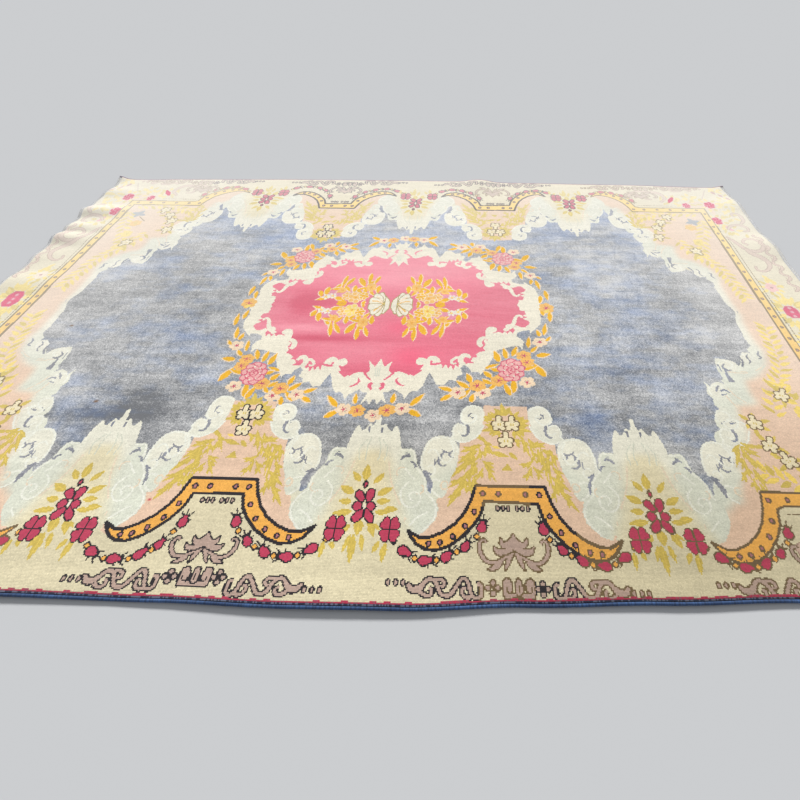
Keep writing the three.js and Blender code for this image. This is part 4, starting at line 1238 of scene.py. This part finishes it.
def knot_material(name, cell, back):
    """Wool knots: the yarn colour of each knot comes from its face, picked by the knot's place in it."""
    m = Nodes(name)
    flat = m.attribute("flat")
    sep = m.new("ShaderNodeSeparateXYZ")
    m.link(flat, sep.inputs[0])
    cu = m.math("DIVIDE", m.math("ADD", sep.outputs[0], PILE_HALF / 1000), PITCH_X * cell / 1000)
    cv = m.math("DIVIDE", m.math("ADD", sep.outputs[1], HALF_WIDTH / 1000), PITCH_Y * cell / 1000)
    at_u, at_v = m.math("MODULO", cu, float(SUB)), m.math("MODULO", cv, float(SUB))
    past_u = [m.math("GREATER_THAN", at_u, float(k)) for k in range(1, SUB)]
    past_v = [m.math("GREATER_THAN", at_v, float(k)) for k in range(1, SUB)]
    rows = []
    for dj in range(SUB):
        row = m.attribute("yarn_0%d" % dj, "Color")
        for di in range(1, SUB):
            row = m.mix(past_u[di - 1], row, m.attribute("yarn_%d%d" % (di, dj), "Color"))
        rows.append(row)
    col = rows[0]
    for dj in range(1, SUB):
        col = m.mix(past_v[dj - 1], col, rows[dj])
    # one random number for every knot
    knot = m.new("ShaderNodeCombineXYZ")
    m.link(m.math("FLOOR", m.math("MULTIPLY", cu, float(cell))), knot.inputs[0])
    m.link(m.math("FLOOR", m.math("MULTIPLY", cv, float(cell))), knot.inputs[1])
    rnd = m.new("ShaderNodeTexWhiteNoise", noise_dimensions="2D")
    m.link(knot.outputs[0], rnd.inputs["Vector"])
    # wool fibres, a little longer along the lay of the pile
    fibre = m.noise(m.scaled(flat, 1.0, 0.55), 900.0, 3.0, 0.6)
    tuft = m.noise(flat, 210.0, 2.0, 0.5)
    shade = m.math("ADD", m.range(fibre, 0.25, 0.75, -0.07, 0.07), m.range(rnd.outputs[0], 0, 1, -0.03, 0.03))
    shade = m.math("ADD", shade, m.range(tuft, 0.3, 0.7, -0.035, 0.035))
    # rows of knots: a soft groove between rows, a fainter one between the columns; the colour is darkened in the
    # grooves, painted shade
    gv = m.math("ABSOLUTE", m.math("SINE", m.math("MULTIPLY", cv, np.pi * cell)))
    gu = m.math("ABSOLUTE", m.math("SINE", m.math("MULTIPLY", cu, np.pi * cell)))
    groove = m.math("ADD", m.math("MULTIPLY", m.math("POWER", gv, 0.5), 0.65), m.math("MULTIPLY", m.math("POWER", gu, 0.5), 0.35))
    shade = m.math("ADD", shade, m.range(groove, 0.3, 1.0, -0.10 if not back else -0.2, 0.02))
    gain = m.math("ADD", shade, 1.0)
    tint = m.new("ShaderNodeCombineXYZ")
    for s in tint.inputs:
        m.link(gain, s)
    col = m.mix(1.0, col, tint.outputs[0], "MULTIPLY")
    if back:                                                  # the back is drier, and the foundation shows through
        weft = m.math("LESS_THAN", gv, 0.42)
        col = m.mix(m.math("MULTIPLY", weft, 0.55), col, (0.55, 0.5, 0.4, 1))
        col = m.mix(0.12, col, (0.5, 0.45, 0.36, 1))
    m.link(col, m.shader.inputs["Base Color"])
    rough = m.range(fibre, 0.2, 0.8, 0.82, 0.98)
    m.link(rough, m.shader.inputs["Roughness"])
    m.shader.inputs["Specular IOR Level"].default_value = 0.18
    m.shader.inputs["Sheen Weight"].default_value = 0.22 if not back else 0.05
    m.shader.inputs["Sheen Roughness"].default_value = 0.45
    height = m.math("ADD", m.math("MULTIPLY", groove, 0.45), m.math("ADD", m.math("MULTIPLY", fibre, 0.5), m.math("MULTIPLY", rnd.outputs[0], 0.22)))
    b = m.bump(height, 0.0011 if not back else 0.0008, 0.75)
    m.link(b, m.shader.inputs["Normal"])
    return m.mat


def end_material():
    """Plain-woven end: undyed warps packed with wefts."""
    m = Nodes("end_weave")
    flat = m.attribute("flat")
    sep = m.new("ShaderNodeSeparateXYZ")
    m.link(flat, sep.inputs[0])
    warp = m.math("SINE", m.math("MULTIPLY", sep.outputs[1], 2 * np.pi / 0.0022))
    weft = m.math("SINE", m.math("MULTIPLY", sep.outputs[0], 2 * np.pi / 0.0015))
    weave = m.math("MULTIPLY", warp, weft)
    big = m.noise(m.scaled(flat, 6.0, 1.0), 9.0, 3.0, 0.55)
    small = m.noise(flat, 700.0, 2.0, 0.5)
    col = m.mix(m.range(big, 0.35, 0.65, 0, 1), (0.74, 0.76, 0.80, 1), (0.88, 0.86, 0.80, 1))
    col = m.mix(m.range(weave, -1, 1, 0.0, 0.35), col, (0.42, 0.42, 0.46, 1))
    col = m.mix(m.range(small, 0.35, 0.65, 0.0, 0.25), col, (0.5, 0.47, 0.42, 1))
    m.link(col, m.shader.inputs["Base Color"])
    m.link(m.range(small, 0.3, 0.7, 0.8, 0.97), m.shader.inputs["Roughness"])
    m.shader.inputs["Specular IOR Level"].default_value = 0.15
    m.link(m.bump(m.math("ADD", weave, small), 0.0006, 0.7), m.shader.inputs["Normal"])
    return m.mat


def wall_material():
    """The cut side of the pile along the cords: knots seen from the side."""
    m = Nodes("side_wall")
    flat = m.attribute("flat")
    n = m.noise(m.scaled(flat, 1.0, 1.0, 0.4), 500.0, 3.0, 0.6)
    col = m.mix(m.range(n, 0.35, 0.65, 0, 1), (0.10, 0.10, 0.13, 1), (0.34, 0.33, 0.33, 1))
    m.link(col, m.shader.inputs["Base Color"])
    m.link(m.range(n, 0.3, 0.7, 0.85, 0.97), m.shader.inputs["Roughness"])
    m.shader.inputs["Specular IOR Level"].default_value = 0.1
    m.link(m.bump(n, 0.001, 0.6), m.shader.inputs["Normal"])
    return m.mat


def build_cord(side, name, seed):
    """One strand wrapped with wool: the wraps are ridges that wind round it."""
    rng = np.random.default_rng(seed)
    steps, sides, pitch = 2500, 12, 4.6
    u = np.linspace(-HALF_LENGTH, HALF_LENGTH, steps)
    x, y = plan(u, np.full(steps, side * HALF_WIDTH))
    low = lift(x, y)
    d = np.gradient(np.stack([x, y], -1), axis=0)
    d /= np.hypot(d[:, 0], d[:, 1])[:, None]
    nrm = np.stack([-d[:, 1], d[:, 0]], -1) * side
    a = np.linspace(0, 2 * np.pi, sides, endpoint=False)
    wobble = np.interp(u, np.linspace(-HALF_LENGTH, HALF_LENGTH, 240), rng.normal(0, 0.16, 240))
    phase = 2 * np.pi * (u + 0.9 * np.interp(u, np.linspace(-HALF_LENGTH, HALF_LENGTH, 500), rng.normal(0, 1, 500))) / pitch
    A, P = np.meshgrid(a, phase)
    ridge = 0.30 * (np.abs(np.sin((P + A * side) / 2)) ** 0.7 - 1.0)
    r_out = CORD_WIDTH / 2 + ridge * 1.0 + wobble[:, None] * 0.5
    r_up = CORD_HEIGHT / 2 + ridge * 1.0 + wobble[:, None] * 0.35
    r_out, r_up = np.minimum(r_out, CORD_WIDTH / 2), np.minimum(r_up, CORD_HEIGHT / 2)
    off = (CORD_GAP + CORD_WIDTH / 2) + np.cos(A) * r_out
    X = x[:, None] + nrm[:, 0:1] * off
    Y = y[:, None] + nrm[:, 1:2] * off
    Z = low[:, None] + CORD_HEIGHT / 2 + np.sin(A) * r_up
    co = np.stack([X, Y, Z], -1).reshape(-1, 3)
    ids = np.arange(steps * sides).reshape(steps, sides)
    nxt = np.roll(ids, -1, axis=1)
    quads = np.stack([ids[:-1], nxt[:-1], nxt[1:], ids[1:]], -1).reshape(-1, 4)
    if side > 0:
        quads = quads[:, ::-1]
    mid0, mid1 = co[ids[0]].mean(0), co[ids[-1]].mean(0)
    co = np.vstack([co, mid0, mid1])
    faces = quads.tolist()
    c0, c1 = len(co) - 2, len(co) - 1
    for k in range(sides):
        f0, f1 = [ids[0][k], c0, nxt[0][k]], [ids[-1][k], nxt[-1][k], c1]
        if side > 0:
            f0, f1 = f0[::-1], f1[::-1]
        faces += [[int(q) for q in f0], [int(q) for q in f1]]
    me = bpy.data.meshes.new(name)
    me.from_pydata(((co + np.r_[CAD_SHIFT, 0]) / 1000).tolist(), [], faces)
    flat = np.zeros((len(co), 3))
    flat[:-2, 0] = np.repeat(u, sides)
    flat[:-2, 1] = np.tile(a / (2 * np.pi) * 24.0, steps)
    flat[:-2, 2] = (P + A * side).reshape(-1) / (2 * np.pi) * 10
    at = me.attributes.new("flat", "FLOAT_VECTOR", "POINT")
    at.data.foreach_set("vector", (flat / 1000).astype(np.float32).ravel())
    me.polygons.foreach_set("use_smooth", np.ones(len(faces), bool))
    me.validate(verbose=False)
    me.update()
    ob = bpy.data.objects.new(name, me)
    bpy.context.scene.collection.objects.link(ob)
    return ob


def cord_material(name, dim, full, painted_gap_shade):
    m = Nodes(name)
    flat = m.attribute("flat")
    along = m.noise(m.scaled(flat, 1.0, 0.0, 0.0), 6.0, 3.0, 0.6)
    fine = m.noise(m.scaled(flat, 1.0, 1.0, 0.0), 900.0, 2.0, 0.6)
    wrap = m.noise(m.scaled(flat, 1.0, 0.0, 0.0), 210.0, 0.0, 0.5)
    col = m.mix(m.range(along, 0.35, 0.65, 0, 1), dim, full)
    # painted shade: dark bands across the cord, in the gaps between the wraps
    col = m.mix(m.range(wrap, 0.4, 0.62, 0.0, 0.6), col, painted_gap_shade)
    col = m.mix(m.range(fine, 0.35, 0.7, 0.0, 0.25), col, full)
    m.link(col, m.shader.inputs["Base Color"])
    m.link(m.range(fine, 0.3, 0.7, 0.62, 0.9), m.shader.inputs["Roughness"])
    m.shader.inputs["Specular IOR Level"].default_value = 0.3
    m.shader.inputs["Sheen Weight"].default_value = 0.15
    m.link(m.bump(fine, 0.0004, 0.5), m.shader.inputs["Normal"])
    return m.mat


# ---- colour of every knot: the yarns, then uneven dye, stains, and painted light and shade ----
def value_noise(shape, cells_y, cells_x, seed, octaves=1, gain=0.5):
    rng = np.random.default_rng(seed)
    out, amp, total = np.zeros(shape), 1.0, 0.0
    for o in range(octaves):
        gy, gx = int(cells_y * 2 ** o) + 2, int(cells_x * 2 ** o) + 2
        g = rng.uniform(-1, 1, (gy, gx))
        yy, xx = np.linspace(0, gy - 1.001, shape[0]), np.linspace(0, gx - 1.001, shape[1])
        i, j = yy.astype(int), xx.astype(int)
        fy, fx = (yy - i)[:, None], (xx - j)[None, :]
        fy, fx = fy * fy * (3 - 2 * fy), fx * fx * (3 - 2 * fx)
        i1, j1 = np.minimum(i + 1, gy - 1), np.minimum(j + 1, gx - 1)
        a, b, c, d = g[np.ix_(i, j)], g[np.ix_(i, j1)], g[np.ix_(i1, j)], g[np.ix_(i1, j1)]
        out += amp * (a * (1 - fx) * (1 - fy) + b * fx * (1 - fy) + c * (1 - fx) * fy + d * fx * fy)
        total += amp
        amp *= gain
    return out / total
def blend_pale(rgb, members, reach):
    """Softens the steps between neighbouring pale yarns."""
    def blur(a):
        for axis in (0, 1):
            n = reach
            pad = [(n + 1, n) if k == axis else (0, 0) for k in range(a.ndim)]
            c = np.cumsum(np.pad(a, pad, mode="edge"), axis=axis)
            hi = np.take(c, np.arange(2 * n + 1, c.shape[axis]), axis=axis)
            lo = np.take(c, np.arange(0, c.shape[axis] - 2 * n - 1), axis=axis)
            a = (hi - lo) / (2 * n + 1)
        return a
    mask = members.astype(float)
    top, low = rgb * mask[..., None], mask
    for _ in range(2):
        top, low = blur(top), blur(low)
    soft = top / np.maximum(low, 1e-6)[..., None]
    return np.where(members[..., None], soft, rgb)


def hill(x, y, rx, ry):
    return np.exp(-((KX - x) / rx) ** 2 - ((KY - y) / ry) ** 2)


def colour_knots():
    """sRGB of every knot, 0 to 1."""
    table = np.array([c for _, c in YARNS], float) / 255
    rgb = table[ART]
    shape = (KNOTS_Y, KNOTS_X)
    rng = np.random.default_rng(77)
    rgb = blend_pale(rgb, np.isin(ART, (MINT, SHELL, BEIGE)), 4)
    pale_edge = np.isin(ART, (MINT, SHELL, BEIGE, CREAM)) & (np.abs(KY) > 640)
    rgb = blend_pale(rgb, pale_edge, 3)
    rgb = blend_pale(rgb, np.isin(ART, (MINT, SHELL, BLUSH)) & (np.abs(KX) > 850), 3)
    # uneven dye: bands of rows along X, soft at their ends, and a finer streak from row to row
    rows = value_noise(shape, 90, 8, 11, 3, 0.6)
    broad = value_noise(shape, 11, 15, 12, 3, 0.55)
    patch = value_noise(shape, 34, 40, 18, 3, 0.6)
    streak = value_noise(shape, 300, 60, 13, 2, 0.6)
    speck = rng.normal(0, 1, shape)
    mottle = value_noise(shape, 78, 110, 31, 3, 0.7)
    warp = value_noise(shape, 40, 420, 14, 1)
    field = np.isin(ART, (FIELD, SLIT))
    # the field is carded grey wool with blue in it
    t = 0.52 + 0.30 * broad + 0.25 * patch + 0.16 * rows + 0.13 * mottle + 0.17 * streak + 0.17 * speck + 0.07 * warp
    # painted light: the field grey lighter toward the far side and a little darker at the near edge
    t += 0.25 * np.clip((KY + 300) / 900, 0, 1) - 0.06 * np.clip((-KY - 250) / 300, 0, 1)
    t -= 0.5 * hill(-750, -500, 170, 26) + 0.35 * hill(-700, -430, 80, 40) + 0.25 * hill(-650, -480, 60, 40) + 0.2 * hill(600, -500, 200, 60)
    t += 0.14 * hill(700, -420, 300, 170)
    t = np.clip(t, 0, 1)
    blue = 0.02 + 0.70 * value_noise(shape, 9, 13, 15, 3, 0.6) + 0.45 * value_noise(shape, 60, 36, 25, 2, 0.6) + 0.25 * value_noise(shape, 120, 120, 41, 2, 0.6)
    blue += 0.55 * hill(-880, -500, 90, 90) + 0.5 * hill(-830, -150, 200, 110) + 0.4 * hill(-640, -200, 120, 100) + 0.5 * hill(560, -500, 90, 50) + 0.3 * hill(800, 0, 260, 300)
    blue -= 0.3 * hill(-560, -420, 200, 120) + 0.3 * hill(150, -460, 260, 90)
    blue += 0.45 * np.clip((KY - 150) / 350, 0, 1) + 0.35 * hill(-520, 420, 200, 90) + 0.3 * hill(420, 470, 120, 60)
    blue = np.clip(blue, 0, 1)
    dark, light = np.array([112, 114, 118.0]) / 255, np.array([214, 214, 214.0]) / 255
    steel, pale = np.array([92, 116, 162.0]) / 255, np.array([184, 196, 222.0]) / 255
    grey = dark + (light - dark) * t[..., None]
    blu = steel + (pale - steel) * t[..., None]
    mixed = grey + (blu - grey) * (blue * 0.8)[..., None]
    rgb = np.where(field[..., None], mixed, rgb)
    slit = (ART == SLIT)[..., None]
    rgb = np.where(slit, rgb * 0.6 + 0.4 * np.array([112, 114, 130.0]) / 255, rgb)
    # rose red ground: bands of stronger and weaker dye, with painted light and shade
    red = ART == RED
    r = 0.46 + 0.26 * value_noise(shape, 26, 5, 16, 3, 0.6) + 0.12 * streak + 0.05 * speck
    # painted light and shade: the light band at y -120 over the dark band at y -172 shade a crease across the
    # medallion's near left
    r += 0.50 * hill(-300, -120, 160, 22) - 0.55 * hill(-200, -172, 190, 16) - 0.7 * hill(-330, 10, 45, 60) - 0.25 * hill(-250, 20, 60, 90) + 0.30 * hill(-100, 150, 260, 60)
    r += 0.22 * hill(-120, -205, 200, 22) + 0.18 * hill(-180, -250, 220, 30)
    # painted light: the red lighter over the far half, from y 90 on
    r += 0.35 * np.clip((KY - 90) / 160, 0, 1)
    r = np.clip(r, 0, 1)
    deep, pink = np.array([205, 84, 106.0]) / 255, np.array([248, 166, 178.0]) / 255
    bright = np.array([246, 92, 124.0]) / 255
    mixed = deep + (pink - deep) * r[..., None]
    s = np.clip(0.35 + 0.4 * value_noise(shape, 12, 7, 17, 2, 0.6) + 0.6 * hill(20, -110, 60, 40) + 0.6 * hill(60, -250, 70, 50) + 0.3 * hill(150, 120, 120, 60), 0, 1)
    mixed = mixed + (bright - mixed) * (0.75 * s)[..., None]
    rgb = np.where(red[..., None], mixed, rgb)
    # every other yarn: gentle bands and a fleck from knot to knot
    gain = 1 + 0.030 * rows + 0.020 * broad + 0.032 * streak + 0.024 * speck + 0.012 * warp
    rgb = np.where((field | red)[..., None], rgb, rgb * gain[..., None])
    # the amber ribbons turn lemon toward the short ends, a yarn of their own; toward the far side the lighter lemon is
    # painted light
    lemon = (ART == AMBER)[..., None] * (0.75 * np.clip((KY + 200) / 900, 0, 1) + 0.35 * np.clip((np.abs(KX) - 950) / 300, 0, 1))[..., None]
    rgb = rgb + (np.array([252, 214, 104.0]) / 255 - rgb) * np.clip(lemon, 0, 0.85)
    # mottled edge row, stains and one stray knot
    fleck = rng.random(shape)
    navy = ART == NAVY
    rgb = np.where((navy & (fleck > 0.55))[..., None], rgb + 0.22, rgb)
    rgb = np.where(((ART == ROW) & (fleck > 0.7))[..., None], rgb * 0.6 + 0.2, rgb)
    for x, y, a, colour in ((-808, -458, 6, (120, 92, 70)), (-1064, -133, 5, (120, 92, 70)), (-515, -762, 3.4, (190, 50, 60)), (488, -45, 4, (90, 80, 84))):
        w = np.clip(1.3 * hill(x, y, a, a * 0.7), 0, 0.85)[..., None]
        rgb = rgb + (np.array(colour) / 255 - rgb) * w
    # painted light: the far side and the far ends are washed toward white, a painted glare of the light that falls from
    # the far side onto the pile
    side = np.clip((np.abs(KX - 60) - 800) / 500, 0, 1) * np.clip((KY + 700) / 450, 0, 1)
    painted_glare = np.clip(np.clip((KY + 500) / 1400, 0, 1) ** 1.2 * 0.42 + side * 0.30 + 0.12 * np.clip((KY - 620) / 260, 0, 1), 0, 0.66)
    glare_white = np.array([1.0, 0.985, 0.955])
    rgb = rgb + (glare_white - rgb) * painted_glare[..., None] * np.where(np.isin(ART, (GOLD, HONEY, PINK2)), 0.45, np.where(field, 0.6, np.where(red, 0.95, 1.0)))[..., None]
    # painted shade: the near right part and the near middle darker, as the light comes from the far side
    shade = 0.14 * np.clip((KX + 100) / 800, 0, 1) * np.clip((-KY - 350) / 450, 0, 1)
    rgb = rgb * (1 - shade[..., None] * np.array([0.95, 1.0, 1.15]))
    rgb = rgb * (1 - hill(0, -640, 260, 110)[..., None] * np.array([0.04, 0.05, 0.07]))
    return np.clip(rgb, 0, 1)
# ---- put it together ----
knot_rgb = colour_knots()
rise_noise = value_noise((KNOTS_Y, KNOTS_X), 26, 40, 5, 3)
fine_noise = np.random.default_rng(8).normal(0, 1, (KNOTS_Y, KNOTS_X))


def rise(U, V):
    """Uneven pile height in mm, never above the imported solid's top."""
    i = np.clip(((U + PILE_HALF) / PITCH_X).astype(int), 0, KNOTS_X - 1)
    j = np.clip(((V + HALF_WIDTH) / PITCH_Y).astype(int), 0, KNOTS_Y - 1)
    return np.minimum(0.0, -0.28 + 0.35 * rise_noise[j, i] + 0.09 * fine_noise[j, i])


rug = build_rug(knot_rgb, rise)
for mat in (knot_material("rug_pile_wool", 1, False), end_material(), knot_material("rug_back_wool", 2, True), wall_material()):
    rug.data.materials.append(mat)
cord_wool = cord_material("wrapped_cord", (0.014, 0.034, 0.095, 1), (0.06, 0.135, 0.32, 1), (0.008, 0.012, 0.03, 1))
# painted light: the far cord is the blue wrapped cord in pale mauve grey, a painted glare of the light from the far
# side
cord_glare_pale = cord_material("wrapped_cord_glare_pale", (0.36, 0.33, 0.42, 1), (0.66, 0.58, 0.62, 1), (0.30, 0.24, 0.33, 1))
cord_near, cord_far = build_cord(-1, "wrapped_cord_near", 21), build_cord(1, "wrapped_cord_far", 22)
cord_near.data.materials.append(cord_wool)
cord_far.data.materials.append(cord_glare_pale)

for ob in (rug, cord_near, cord_far):
    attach(ob, "root")
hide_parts("rug")
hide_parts("side_cord_near")
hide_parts("side_cord_far")

# ---- floor, light and camera ----
bpy.ops.mesh.primitive_plane_add(size=30, location=(0, 0, 0))
floor = bpy.context.object
floor.name = "floor"
fm = bpy.data.materials.new("floor_pale")
fm.use_nodes = True
fb = fm.node_tree.nodes["Principled BSDF"]
fb.inputs["Base Color"].default_value = (0.56, 0.57, 0.585, 1)
fb.inputs["Roughness"].default_value = 1.0
fb.inputs["Specular IOR Level"].default_value = 0.0
floor.data.materials.append(fm)


sun = bpy.data.lights.new("window", "SUN")
sun.energy, sun.angle, sun.color = 4.25, np.radians(11), (1.0, 0.99, 0.97)
sun_ob = bpy.data.objects.new("window", sun)
bpy.context.scene.collection.objects.link(sun_ob)
sun_ob.rotation_mode = "QUATERNION"
sun_ob.rotation_quaternion = Vector((0.10, -0.86, -0.52)).to_track_quat("-Z", "Y")   # from the far side, low
world = bpy.data.worlds.new("studio")
bpy.context.scene.world = world
world.use_nodes = True
world.node_tree.nodes["Background"].inputs[0].default_value = (0.95, 0.97, 1.0, 1)
world.node_tree.nodes["Background"].inputs[1].default_value = 0.40

yaw, pitch, roll = np.radians(1.015), np.radians(48.537), np.radians(0.347)
forward = np.array([-np.sin(yaw) * np.cos(pitch), np.cos(yaw) * np.cos(pitch), -np.sin(pitch)])
r0 = np.array([np.cos(yaw), np.sin(yaw), 0.0])
u0 = np.cross(r0, forward)
right = np.cos(roll) * r0 + np.sin(roll) * u0
up = -np.sin(roll) * r0 + np.cos(roll) * u0
cam = bpy.data.cameras.new("view")
cam.sensor_width, cam.sensor_fit = 36.0, "HORIZONTAL"
cam.lens = 466.0 / 800 * 36.0
cam.shift_x, cam.shift_y = -57.26 / 800, 0.0
cam.clip_start, cam.clip_end = 0.05, 60
cam_ob = bpy.data.objects.new("view", cam)
bpy.context.scene.collection.objects.link(cam_ob)
place = np.array([0.2263, -1.3030, 0.9993]) + np.r_[CAD_SHIFT / 1000, 0]
m = Matrix.Identity(4)
for k in range(3):
    m[k][0], m[k][1], m[k][2], m[k][3] = right[k], up[k], -forward[k], place[k]
cam_ob.matrix_world = m
bpy.context.scene.camera = cam_ob
bpy.context.scene.view_settings.view_transform = "Standard"
